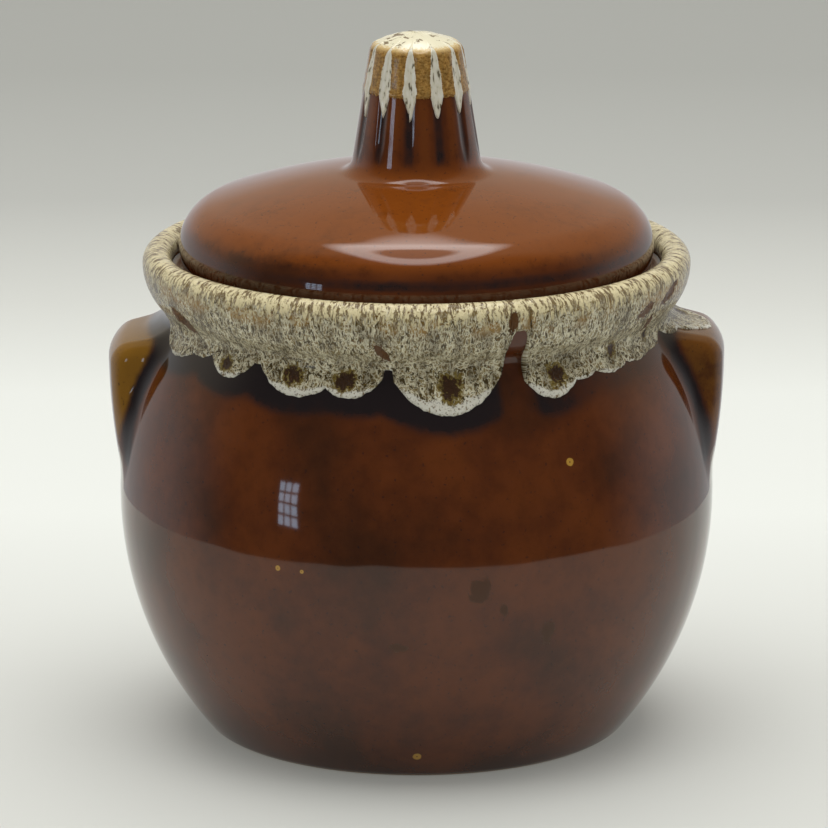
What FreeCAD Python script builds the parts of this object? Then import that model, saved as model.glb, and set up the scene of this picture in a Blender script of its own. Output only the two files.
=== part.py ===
import FreeCAD, Part
import math
import os

import Sketcher
from FreeCAD import Placement, Rotation, Vector

# A stoneware bean pot: a belly-shaped pot with two solid lug handles, a lift-off
# lid with a fluted knob, and thin poured coats of drip glaze on the rim and knob.
# Origin: the middle of the foot ring, on the surface that the pot stands on.
# +Z is up, +X runs through the right lug and -Y is the front.

doc = FreeCAD.newDocument("BeanPot")

# ---- driving dimensions (mm and degrees) ------------------------------------
sizes = doc.addObject("Spreadsheet::Sheet", "Sizes")
SIZES = {
    # belly and foot
    "bellyRadius": 89.0,      # widest part of the pot, outside
    "bellyHeight": 72.0,      # height of the widest part
    "footRadius": 59.85,      # outer edge of the flat foot
    "heelRound": 5.0,         # rounding where the wall turns under
    "wall": 6.0,              # thrown wall
    "floorThickness": 9.0,
    "floorRound": 14.0,       # inside corner of the floor
    "footRingWidth": 8.85,    # flat ring that the pot stands on
    "footRecess": 2.5,
    "footEdge": 0.8,          # softened edges of the foot ring
    # neck and rolled rim
    "rimRadius": 81.1,        # widest point of the rolled rim
    "rimHeight": 142.0,       # height of that point
    "neckInset": 6.44,        # the neck's narrowest point, inside the rim
    "neckDrop": 15.43,        # and below it
    "neckRound": 5.0,         # hollow between shoulder and rim
    "beadRound": 3.8,         # top of the rolled rim
    # lid seat inside the rim
    "ledgeDrop": 2.5,         # the ledge lies this far below the rim's widest point
    "throatInset": 16.6,      # the throat's wall, inside the rim's widest point
    "throatDepth": 9.55,      # how deep the throat runs straight, under the ledge
    "ledgeEdge": 1.2,
    # lug handles
    "lugProud": 3.0,          # how far a lug stands out beyond the belly
    "lugCorner": 5.5,         # rounded top corner
    "lugTopSlope": 13.0,      # degrees that the top falls outwards
    "lugTopDrop": 2.4,        # the top meets the neck this far below its middle
    "lugFootRise": 3.0,       # hidden lower end, above the belly's widest part
    "lugFootSink": 1.3,       # and inside the belly's radius
    "lugRootWidth": 44.6,     # across the lug where it leaves the neck
    "lugTipWidth": 37.0,      # across its outer face
    "lugRidge": 5.0,          # rounding along the outer edges
    "lugCove": 5.5,           # cove where the lug is luted on
    "lugBite": 0.2,           # the cove is rolled this deep under the pot's surface
    # lid
    "lidGap": 1.9,            # between the lid's edge and the glazed rim
    "lidEdgeArc": 14.0,       # rolled edge of the lid
    "lidEdgeRise": 7.2,       # the lid's widest point, above the ledge
    "lidDomeArc": 188.5,
    "lidTaper": 1.0,          # how far the lid draws in below its widest point
    "lidFootRound": 1.5,
    "lidWall": 5.5,
    "lidInnerRound": 8.0,
    "flangeGap": 2.0,         # between the flange and the pot's throat
    "flangeDepth": 7.5,
    "flangeWidth": 4.5,
    "flangeRound": 1.2,
    # knob
    "knobFoot": 24.0,         # radius of the luted foot
    "knobSeat": 0.6,          # how deep the foot sits in the lid
    "knobCove": 5.0,          # hollow between foot and stem
    "knobBaseRadius": 19.7,   # stem radius at the dome, without the cove
    "knobTopRadius": 13.9,
    "knobStem": 37.4,         # height of the stem's top above the dome
    "knobHeight": 41.9,       # height of the crown above the dome
    "knobTopRound": 2.8,
    "knobCrownArc": 26.0,
    "fluteCount": 12,
    "fluteTurn": -7.4,        # azimuth of one flute, from the front
    "fluteArc": 3.0,          # radius of the flute's hollow
    "fluteTopDepth": 0.8,
    "fluteBaseDepth": 0.35,
    # glaze coats
    "coat": 0.8,              # poured coat on the rim
    "bandDepth": 17.0,        # the coat is whole this far below the rim's widest point
    "knobCoat": 0.4,
    "knobBand": 22.5,         # lower edge of the coat on the ridges, above the dome
    "tongueTip": 15.5,        # lowest point of the coat in the flutes, above the dome
    "tongueWidth": 4.2,
}

# Sizes that follow from the driving ones, as formulas over the same sheet. The belly's
# arcs run level with its widest part and touch the roundings of the heel and the neck.
DERIVED = {
    "footRingInner": "footRadius - footRingWidth",
    "heelArc": "((bellyRadius - footRadius)^2 + (bellyHeight - heelRound)^2 - heelRound^2)"
               " / (2 * (bellyRadius - footRadius - heelRound))",
    "neckRadius": "rimRadius - neckInset",
    "neckHeight": "rimHeight - neckDrop",
    "neckCentre": "neckRadius + neckRound",
    "shoulderArc": "((bellyRadius - neckCentre)^2 + (neckHeight - bellyHeight)^2 - neckRound^2)"
                   " / (2 * (bellyRadius - neckRadius))",
    "collarArc": "((rimRadius - neckCentre)^2 + neckDrop^2 - neckRound^2) / (2 * neckInset)",
    "throatRadius": "rimRadius - throatInset",
    "ledgeHeight": "rimHeight - ledgeDrop",
    "throatFoot": "ledgeHeight - throatDepth",
    "lugReach": "bellyRadius + lugProud",
    "lugCornerHeight": "neckHeight - lugTopDrop - lugCorner / cos(lugTopSlope)"
                       " - (lugReach - lugCorner - neckRadius) * tan(lugTopSlope)",
    "lugBottom": "bellyHeight + lugFootRise",
    "lugFaceArc": "(lugProud + lugFootSink) / 2"
                  " + (lugCornerHeight - lugBottom)^2 / (2 * (lugProud + lugFootSink))",
    "lidRadius": "rimRadius - 2 * beadRound - coat - lidGap",
    "lidEdgeHeight": "ledgeHeight + lidEdgeRise",
    "domeCentre": "lidEdgeHeight"
                  " - sqrt((lidDomeArc - lidEdgeArc)^2 - (lidRadius - lidEdgeArc)^2)",
    "flangeRadius": "throatRadius - flangeGap",
    "knobRoot": "domeCentre + sqrt(lidDomeArc^2 - knobFoot^2)",
}

# Scallops of the drip glaze: azimuth from the front (degrees, + towards +X),
# radius of the round end, and how far its tip hangs below the whole band.
DRIPS = [
    (-62, 9, 4.7), (-46, 6.5, 5.6), (-25.5, 9, 7.4), (-15, 8.5, 6.9), (6.5, 15, 11),
    (30.5, 9.5, 8.5), (44.5, 8, 5), (58, 9, 3.8), (73, 8, 4), (108, 9, 6), (124, 12, 9.5),
    (143, 9, 6.5), (160, 13, 10.2), (181, 10, 7.5), (199, 14, 10), (222, 9, 6),
    (238, 11, 8), (252, 7, 4.5),
]
for number, (turn, rounding, hang) in enumerate(DRIPS, start=1):
    SIZES[f"dripTurn{number}"] = turn
    SIZES[f"dripRound{number}"] = rounding
    SIZES[f"dripHang{number}"] = hang

cells = {name: str(number) for name, number in SIZES.items()}
cells |= {name: "=" + formula for name, formula in DERIVED.items()}
for row, (name, content) in enumerate(cells.items(), start=1):
    sizes.set(f"A{row}", name)
    sizes.set(f"B{row}", content)
    sizes.setAlias(f"B{row}", name)
doc.recompute()


# ---- small helpers -----------------------------------------------------------
def bind(thing, **formulas):
    """Set properties of an object by formulas over the sheet."""
    for prop, formula in formulas.items():
        thing.setExpression(prop.replace("__", "."), formula)


def amount(formula):
    """The present value of a formula over the sheet."""
    result = sizes.evalExpression(formula)
    return float(getattr(result, "Value", result))


def newBody(label):
    body = doc.addObject("PartDesign::Body", label)
    body.Label = label
    return body


def originPart(body, role):
    return next(part for part in body.Origin.OriginFeatures if part.Role == role)


def newSketch(body, name, role="XZ_Plane"):
    sketch = body.newObject("Sketcher::SketchObject", name)
    sketch.AttachmentSupport = [(originPart(body, role), "")]
    sketch.MapMode = "FlatFace"
    return sketch


def line(sketch, start, end):
    return sketch.addGeometry(Part.LineSegment(Vector(*start, 0), Vector(*end, 0)), False)


def arc(sketch, centre, radius, first, last):
    """An arc drawn counter-clockwise from one angle to another (degrees)."""
    circle = Part.Circle(Vector(*centre, 0), Vector(0, 0, 1), radius)
    return sketch.addGeometry(
        Part.ArcOfCircle(circle, math.radians(first), math.radians(last)), False)


def rule(sketch, kind, *parts):
    sketch.addConstraint(Sketcher.Constraint(kind, *parts))


def dimension(sketch, kind, *parts, to):
    """A constraint whose value follows a formula over the sheet."""
    index = sketch.addConstraint(Sketcher.Constraint(kind, *parts, amount(to)))
    sketch.setExpression(f"Constraints[{index}]", to)


START, END, CENTRE = 1, 2, 3        # the points of a sketch element
ORIGIN = (-1, 1)
VERTICAL_AXIS, HORIZONTAL_AXIS = -2, -1


def placePoint(sketch, element, point, across=None, height=None):
    if across is not None:
        dimension(sketch, "DistanceX", *ORIGIN, element, point, to=across)
    if height is not None:
        dimension(sketch, "DistanceY", *ORIGIN, element, point, to=height)


def revolve(body, sketch, angle="360"):
    turned = body.newObject("PartDesign::Revolution", sketch.Name + "Turned")
    turned.Profile = (sketch, [""])
    turned.ReferenceAxis = (sketch, ["V_Axis"])
    turned.Midplane = True
    bind(turned, Angle=angle)
    doc.recompute()
    return turned


def hollow(body, sketch):
    """Turn the sketch about the axis and cut it away, and see that it did cut."""
    before = body.Shape.Volume
    groove = body.newObject("PartDesign::Groove", sketch.Name + "Groove")
    groove.Profile = (sketch, [""])
    groove.ReferenceAxis = (sketch, ["V_Axis"])
    groove.Angle = 360
    doc.recompute()
    if body.Shape.Volume > before - 1:
        raise RuntimeError(f"{groove.Name} cut nothing")
    return groove


def ringEdges(shape, radius, height):
    """Names of the circular edges about Z of a given radius and height."""
    found = []
    for number, edge in enumerate(shape.Edges, start=1):
        if edge.Degenerated or not isinstance(edge.Curve, Part.Circle):
            continue
        if abs(edge.Curve.Radius - radius) < 0.02 and abs(edge.Curve.Center.z - height) < 0.02:
            found.append(f"Edge{number}")
    if not found:
        raise RuntimeError(f"no ring edge of radius {radius:.2f} at {height:.2f}")
    return found


def roundRings(body, radius, *rings):
    """Round ring edges, each given by its radius and height formulas."""
    tip = body.Tip
    names = [name for across, height in rings
             for name in ringEdges(tip.Shape, amount(across), amount(height))]
    rounding = body.newObject("PartDesign::Fillet", body.Name + "Round")
    rounding.Base = (tip, names)
    bind(rounding, Radius=radius)
    doc.recompute()
    return rounding


# ---- pot ----------------------------------------------------------------------
def upperOutline(sketch, extra):
    """Outside of the pot from its widest part to the top of the rolled rim, moved
    outwards by a formula, and closed along its top, the axis and its bottom."""
    belly = (amount(f"Sizes.bellyRadius + {extra}"), amount("Sizes.bellyHeight"))
    shoulder = amount(f"Sizes.shoulderArc + {extra}")
    rim = (amount(f"Sizes.rimRadius + {extra}"), amount("Sizes.rimHeight"))
    collar = amount(f"Sizes.collarArc + {extra}")
    bead = amount(f"Sizes.beadRound + {extra}")
    neck = amount(f"Sizes.neckRound - ({extra})")
    neckCentre = (amount("Sizes.neckCentre"), amount("Sizes.neckHeight"))
    shoulderCentre = (belly[0] - shoulder, belly[1])
    collarCentre = (rim[0] - collar, rim[1])
    beadCentre = (rim[0] - bead, rim[1])
    toShoulder = math.degrees(math.atan2(neckCentre[1] - shoulderCentre[1],
                                         neckCentre[0] - shoulderCentre[0]))
    toCollar = math.degrees(math.atan2(neckCentre[1] - collarCentre[1],
                                       neckCentre[0] - collarCentre[0]))
    shoulderArc = arc(sketch, shoulderCentre, shoulder, 0, toShoulder)
    neckArc = arc(sketch, neckCentre, neck, toCollar + 180, toShoulder + 180)
    collarArc = arc(sketch, collarCentre, collar, toCollar, 0)
    beadArc = arc(sketch, beadCentre, bead, 0, 180)
    top = line(sketch, (beadCentre[0] - bead, rim[1]), (0, rim[1]))

    placePoint(sketch, shoulderArc, START, f"Sizes.bellyRadius + {extra}", "Sizes.bellyHeight")
    rule(sketch, "Horizontal", shoulderArc, START, shoulderArc, CENTRE)
    dimension(sketch, "Radius", shoulderArc, to=f"Sizes.shoulderArc + {extra}")
    dimension(sketch, "Radius", neckArc, to=f"Sizes.neckRound - ({extra})")
    dimension(sketch, "Radius", collarArc, to=f"Sizes.collarArc + {extra}")
    dimension(sketch, "Radius", beadArc, to=f"Sizes.beadRound + {extra}")
    rule(sketch, "Tangent", shoulderArc, END, neckArc, END)
    rule(sketch, "Tangent", neckArc, START, collarArc, START)
    rule(sketch, "Tangent", collarArc, END, beadArc, START)
    rule(sketch, "Horizontal", beadArc, START, beadArc, CENTRE)
    placePoint(sketch, beadArc, START, f"Sizes.rimRadius + {extra}", "Sizes.rimHeight")
    rule(sketch, "Coincident", beadArc, END, top, START)
    rule(sketch, "Horizontal", top)
    rule(sketch, "PointOnObject", top, END, VERTICAL_AXIS)
    return shoulderArc, top


def upperForm(label, extra):
    """The upper half of the pot as a solid form, for cutting what lies against it."""
    body = newBody(label)
    sketch = newSketch(body, label + "Outline")
    shoulderArc, top = upperOutline(sketch, extra)
    widest = (amount(f"Sizes.bellyRadius + {extra}"), amount("Sizes.bellyHeight"))
    axis = line(sketch, (0, amount("Sizes.rimHeight")), (0, widest[1]))
    bottom = line(sketch, (0, widest[1]), widest)
    rule(sketch, "Coincident", top, END, axis, START)
    rule(sketch, "Vertical", axis)
    rule(sketch, "Coincident", axis, END, bottom, START)
    rule(sketch, "Coincident", bottom, END, shoulderArc, START)
    rule(sketch, "Horizontal", bottom)
    revolve(body, sketch)
    return body


def heelPoints(radius, rounding, floor):
    """Centre of the rounding inside the lower belly arc, and the angle of their joint."""
    centre = (amount("Sizes.bellyRadius") - amount("Sizes.heelArc"), amount("Sizes.bellyHeight"))
    drop = centre[1] - (floor + rounding)
    across = math.sqrt((radius - rounding) ** 2 - drop ** 2)
    return (centre[0] + across, floor + rounding), math.degrees(math.atan2(-drop, across)), centre


def potBody():
    body = newBody("pot_body")
    outline = newSketch(body, "PotOutline")
    shoulderArc, top = upperOutline(outline, "0")
    heelRound = amount("Sizes.heelRound")
    heel, turn, centre = heelPoints(amount("Sizes.heelArc"), heelRound, 0)
    lowerArc = arc(outline, centre, amount("Sizes.heelArc"), turn, 0)
    heelArc = arc(outline, heel, heelRound, -90, turn)
    axis = line(outline, (0, amount("Sizes.rimHeight")), (0, 0))
    foot = line(outline, (0, 0), (heel[0], 0))
    dimension(outline, "Radius", lowerArc, to="Sizes.heelArc")
    dimension(outline, "Radius", heelArc, to="Sizes.heelRound")
    rule(outline, "Coincident", lowerArc, END, shoulderArc, START)
    rule(outline, "Horizontal", lowerArc, END, lowerArc, CENTRE)
    rule(outline, "Tangent", lowerArc, START, heelArc, END)
    rule(outline, "Tangent", heelArc, START, foot, END)
    rule(outline, "Coincident", foot, START, *ORIGIN)
    rule(outline, "Horizontal", foot)
    rule(outline, "Coincident", top, END, axis, START)
    rule(outline, "Coincident", axis, END, foot, START)
    revolve(body, outline)

    hollow(body, cavityOutline(body))
    footRecess(body)
    roundRings(body, "Sizes.ledgeEdge", ("Sizes.throatRadius", "Sizes.ledgeHeight"))
    roundRings(body, "Sizes.footEdge", ("Sizes.footRingInner", "0"))
    return body


def cavityOutline(body):
    """Inside of the pot: floor, belly, throat, and the gallery that the lid sits in."""
    sketch = newSketch(body, "CavityOutline")
    floor = amount("Sizes.floorThickness")
    corner = amount("Sizes.floorRound")
    lower = amount("Sizes.heelArc - Sizes.wall")
    widest = (amount("Sizes.bellyRadius - Sizes.wall"), amount("Sizes.bellyHeight"))
    throat = amount("Sizes.throatRadius")
    ledge = amount("Sizes.ledgeHeight")
    gallery = amount("Sizes.rimRadius - 2 * Sizes.beadRound")
    mouth = amount("Sizes.rimHeight + 2 * Sizes.beadRound")
    cornerCentre, turn, lowerCentre = heelPoints(lower, corner, floor)
    throatFoot = amount("Sizes.throatFoot")
    rise, run = throatFoot - widest[1], widest[0] - throat
    upper = (rise ** 2 + run ** 2) / (2 * run)
    upperCentre = (widest[0] - upper, widest[1])
    throatTurn = math.degrees(math.asin(rise / upper))

    ground = line(sketch, (0, floor), (cornerCentre[0], floor))
    cornerArc = arc(sketch, cornerCentre, corner, -90, turn)
    lowerArc = arc(sketch, lowerCentre, lower, turn, 0)
    upperArc = arc(sketch, upperCentre, upper, 0, throatTurn)
    throatWall = line(sketch, (throat, throatFoot), (throat, ledge))
    ledgeLine = line(sketch, (throat, ledge), (gallery, ledge))
    galleryWall = line(sketch, (gallery, ledge), (gallery, mouth))
    mouthLine = line(sketch, (gallery, mouth), (0, mouth))
    axis = line(sketch, (0, mouth), (0, floor))

    rule(sketch, "Horizontal", ground)
    placePoint(sketch, ground, START, height="Sizes.floorThickness")
    rule(sketch, "PointOnObject", ground, START, VERTICAL_AXIS)
    rule(sketch, "Tangent", ground, END, cornerArc, START)
    dimension(sketch, "Radius", cornerArc, to="Sizes.floorRound")
    rule(sketch, "Tangent", cornerArc, END, lowerArc, START)
    dimension(sketch, "Radius", lowerArc, to="Sizes.heelArc - Sizes.wall")
    rule(sketch, "Horizontal", lowerArc, END, lowerArc, CENTRE)
    placePoint(sketch, lowerArc, END, "Sizes.bellyRadius - Sizes.wall", "Sizes.bellyHeight")
    rule(sketch, "Coincident", lowerArc, END, upperArc, START)
    rule(sketch, "Horizontal", upperArc, START, upperArc, CENTRE)
    placePoint(sketch, upperArc, END, height="Sizes.throatFoot")
    rule(sketch, "Coincident", upperArc, END, throatWall, START)
    rule(sketch, "Vertical", throatWall)
    placePoint(sketch, throatWall, END, "Sizes.throatRadius", "Sizes.ledgeHeight")
    rule(sketch, "Coincident", throatWall, END, ledgeLine, START)
    rule(sketch, "Horizontal", ledgeLine)
    rule(sketch, "Coincident", ledgeLine, END, galleryWall, START)
    rule(sketch, "Vertical", galleryWall)
    placePoint(sketch, galleryWall, END, "Sizes.rimRadius - 2 * Sizes.beadRound",
               "Sizes.rimHeight + 2 * Sizes.beadRound")
    rule(sketch, "Coincident", galleryWall, END, mouthLine, START)
    rule(sketch, "Horizontal", mouthLine)
    rule(sketch, "Coincident", mouthLine, END, axis, START)
    rule(sketch, "Vertical", axis)
    rule(sketch, "Coincident", axis, END, ground, START)
    return sketch


def footRecess(body):
    """The shallow recess that leaves a foot ring for the pot to stand on."""
    sketch = newSketch(body, "FootRecess", "XY_Plane")
    circle = sketch.addGeometry(
        Part.Circle(Vector(0, 0, 0), Vector(0, 0, 1), amount("Sizes.footRingInner")), False)
    rule(sketch, "Coincident", circle, CENTRE, *ORIGIN)
    dimension(sketch, "Radius", circle, to="Sizes.footRingInner")
    before = body.Shape.Volume
    recess = body.newObject("PartDesign::Pocket", "FootRecessPocket")
    recess.Profile = (sketch, [""])
    recess.Reversed = True
    bind(recess, Length="Sizes.footRecess")
    doc.recompute()
    if body.Shape.Volume > before - 1:
        raise RuntimeError("the foot recess cut nothing")


# ---- lug handles ----------------------------------------------------------------
LUG_SECTOR = 60      # degrees of the turned blank that the flanks are cut from


def lugBlank(label):
    """The lug before it is luted on: a turned sector with tapered flanks."""
    body = newBody(label)
    outline = newSketch(body, label + "Outline")
    reach = amount("Sizes.lugReach")
    reachHeight = amount("Sizes.lugCornerHeight")
    face = amount("Sizes.lugFaceArc")
    corner = amount("Sizes.lugCorner")
    slope = amount("Sizes.lugTopSlope")
    bottom = amount("Sizes.lugBottom")
    inner = amount("Sizes.throatRadius + Sizes.wall")
    faceTurn = -math.degrees(math.asin((reachHeight - bottom) / face))
    faceFoot = (reach - face + face * math.cos(math.radians(faceTurn)), bottom)
    cornerCentre = (reach - corner, reachHeight)
    cornerTop = (cornerCentre[0] + corner * math.sin(math.radians(slope)),
                 cornerCentre[1] + corner * math.cos(math.radians(slope)))
    rise = (cornerTop[0] - inner) * math.tan(math.radians(slope))
    faceArc = arc(outline, (reach - face, reachHeight), face, faceTurn, 0)
    cornerArc = arc(outline, cornerCentre, corner, 0, 90 - slope)
    topLine = line(outline, cornerTop, (inner, cornerTop[1] + rise))
    innerLine = line(outline, (inner, cornerTop[1] + rise), (inner, bottom))
    bottomLine = line(outline, (inner, bottom), faceFoot)

    placePoint(outline, faceArc, END, "Sizes.lugReach", "Sizes.lugCornerHeight")
    rule(outline, "Horizontal", faceArc, END, faceArc, CENTRE)
    dimension(outline, "Radius", faceArc, to="Sizes.lugFaceArc")
    rule(outline, "Tangent", faceArc, END, cornerArc, START)
    dimension(outline, "Radius", cornerArc, to="Sizes.lugCorner")
    rule(outline, "Tangent", cornerArc, END, topLine, START)
    dimension(outline, "Angle", topLine, START, HORIZONTAL_AXIS, START,
              to="180 - Sizes.lugTopSlope")
    rule(outline, "Coincident", topLine, END, innerLine, START)
    rule(outline, "Vertical", innerLine)
    placePoint(outline, innerLine, END, "Sizes.throatRadius + Sizes.wall", "Sizes.lugBottom")
    rule(outline, "Coincident", innerLine, END, bottomLine, START)
    rule(outline, "Horizontal", bottomLine)
    rule(outline, "Coincident", bottomLine, END, faceArc, START)
    revolve(body, outline, str(LUG_SECTOR))
    for side in (-1, 1):
        trimFlank(body, side)
    ridges = [f"Edge{number}" for number, edge in enumerate(body.Shape.Edges, start=1)
              if isRidge(edge)]
    flanked = body.Tip
    rounding = body.newObject("PartDesign::Fillet", label + "Ridge")
    rounding.Base = (flanked, ridges)
    bind(rounding, Radius="Sizes.lugRidge")
    doc.recompute()
    return body


def trimFlank(body, side):
    """Cut one flank to its taper: wide at the pot, narrower at the outer face."""
    sketch = newSketch(body, f"{body.Name}Flank{'Front' if side < 0 else 'Back'}", "XY_Plane")
    root = (amount("Sizes.neckRadius"), side * amount("Sizes.lugRootWidth / 2"))
    tip = (amount("Sizes.lugReach"), side * amount("Sizes.lugTipWidth / 2"))
    lean = (tip[1] - root[1]) / (tip[0] - root[0])
    inner = amount("Sizes.throatRadius / 2")
    outer = amount("Sizes.lugReach + Sizes.lugCorner")
    far = side * amount("Sizes.lugReach")
    flank = line(sketch, (inner, root[1] + lean * (inner - root[0])),
                 (outer, root[1] + lean * (outer - root[0])))
    outerSide = line(sketch, (outer, root[1] + lean * (outer - root[0])), (outer, far))
    farSide = line(sketch, (outer, far), (inner, far))
    innerSide = line(sketch, (inner, far), (inner, root[1] + lean * (inner - root[0])))
    sides = (flank, outerSide, farSide, innerSide)
    for first, second in zip(sides, sides[1:] + sides[:1]):
        rule(sketch, "Coincident", first, END, second, START)
    rule(sketch, "Vertical", outerSide)
    rule(sketch, "Vertical", innerSide)
    rule(sketch, "Horizontal", farSide)
    placePoint(sketch, innerSide, START, "Sizes.throatRadius / 2", f"{side} * Sizes.lugReach")
    placePoint(sketch, outerSide, END, "Sizes.lugReach + Sizes.lugCorner")
    for across, half in (("neckRadius", "lugRootWidth"), ("lugReach", "lugTipWidth")):
        mark = sketch.addGeometry(
            Part.Point(Vector(amount(f"Sizes.{across}"), side * amount(f"Sizes.{half} / 2"), 0)), True)
        placePoint(sketch, mark, START, f"Sizes.{across}", f"{side} * Sizes.{half} / 2")
        rule(sketch, "PointOnObject", mark, START, flank)
    before = body.Shape.Volume
    cut = body.newObject("PartDesign::Pocket", sketch.Name + "Cut")
    cut.Profile = (sketch, [""])
    cut.Type = "ThroughAll"
    cut.Midplane = True
    doc.recompute()
    if body.Shape.Volume > before - 1:
        raise RuntimeError(f"{cut.Name} cut nothing")


def isRidge(edge):
    """The outer edges of a lug: on a flank, and beyond the hidden lower end."""
    box = edge.BoundBox
    middle = edge.valueAt((edge.FirstParameter + edge.LastParameter) / 2)
    return (middle.x > amount("Sizes.throatRadius + Sizes.wall") + 1
            and middle.z > amount("Sizes.lugBottom") + 0.1
            and abs(middle.y) > 1 and box.DiagonalLength > 1)


def shoulderForm(label):
    """The shoulder alone, a little under the pot's surface, for rolling the coves."""
    body = newBody(label)
    sketch = newSketch(body, label + "Outline")
    widest = (amount("Sizes.bellyRadius - Sizes.lugBite"), amount("Sizes.bellyHeight"))
    radius = amount("Sizes.shoulderArc - Sizes.lugBite")
    top = amount("Sizes.neckHeight + Sizes.neckRound")
    turn = math.degrees(math.asin((top - widest[1]) / radius))
    topRadius = widest[0] - radius + radius * math.cos(math.radians(turn))
    shoulder = arc(sketch, (widest[0] - radius, widest[1]), radius, 0, turn)
    topLine = line(sketch, (topRadius, top), (0, top))
    axis = line(sketch, (0, top), (0, widest[1]))
    bottom = line(sketch, (0, widest[1]), widest)
    placePoint(sketch, shoulder, START, "Sizes.bellyRadius - Sizes.lugBite", "Sizes.bellyHeight")
    rule(sketch, "Horizontal", shoulder, START, shoulder, CENTRE)
    dimension(sketch, "Radius", shoulder, to="Sizes.shoulderArc - Sizes.lugBite")
    rule(sketch, "Coincident", shoulder, END, topLine, START)
    rule(sketch, "Horizontal", topLine)
    placePoint(sketch, topLine, END, height="Sizes.neckHeight + Sizes.neckRound")
    rule(sketch, "Coincident", topLine, END, axis, START)
    rule(sketch, "PointOnObject", axis, START, VERTICAL_AXIS)
    rule(sketch, "Vertical", axis)
    rule(sketch, "Coincident", axis, END, bottom, START)
    rule(sketch, "Horizontal", bottom)
    rule(sketch, "Coincident", bottom, END, shoulder, START)
    revolve(body, sketch)
    return body


def coveLug(label, blank, shoulder):
    """Join the blank to the shoulder, and roll a cove all round the joint."""
    joined = doc.addObject("Part::MultiFuse", label + "Joined")
    joined.Shapes = [shoulder, blank]
    doc.recompute()
    cove = doc.addObject("Part::Fillet", label + "Cove")
    cove.Base = joined
    radius = amount("Sizes.lugCove")
    cove.Edges = [(number, radius, radius)
                  for number, edge in enumerate(joined.Shape.Edges, start=1)
                  if liesOn(edge, shoulder) and liesOn(edge, blank)]
    doc.recompute()
    return cove


def liesOn(edge, form):
    """Whether the middle of an edge lies on the surface of a form."""
    middle = edge.valueAt((edge.FirstParameter + edge.LastParameter) / 2)
    return form.Shape.Shells[0].distToShape(Part.Vertex(middle))[0] < 0.01


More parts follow.
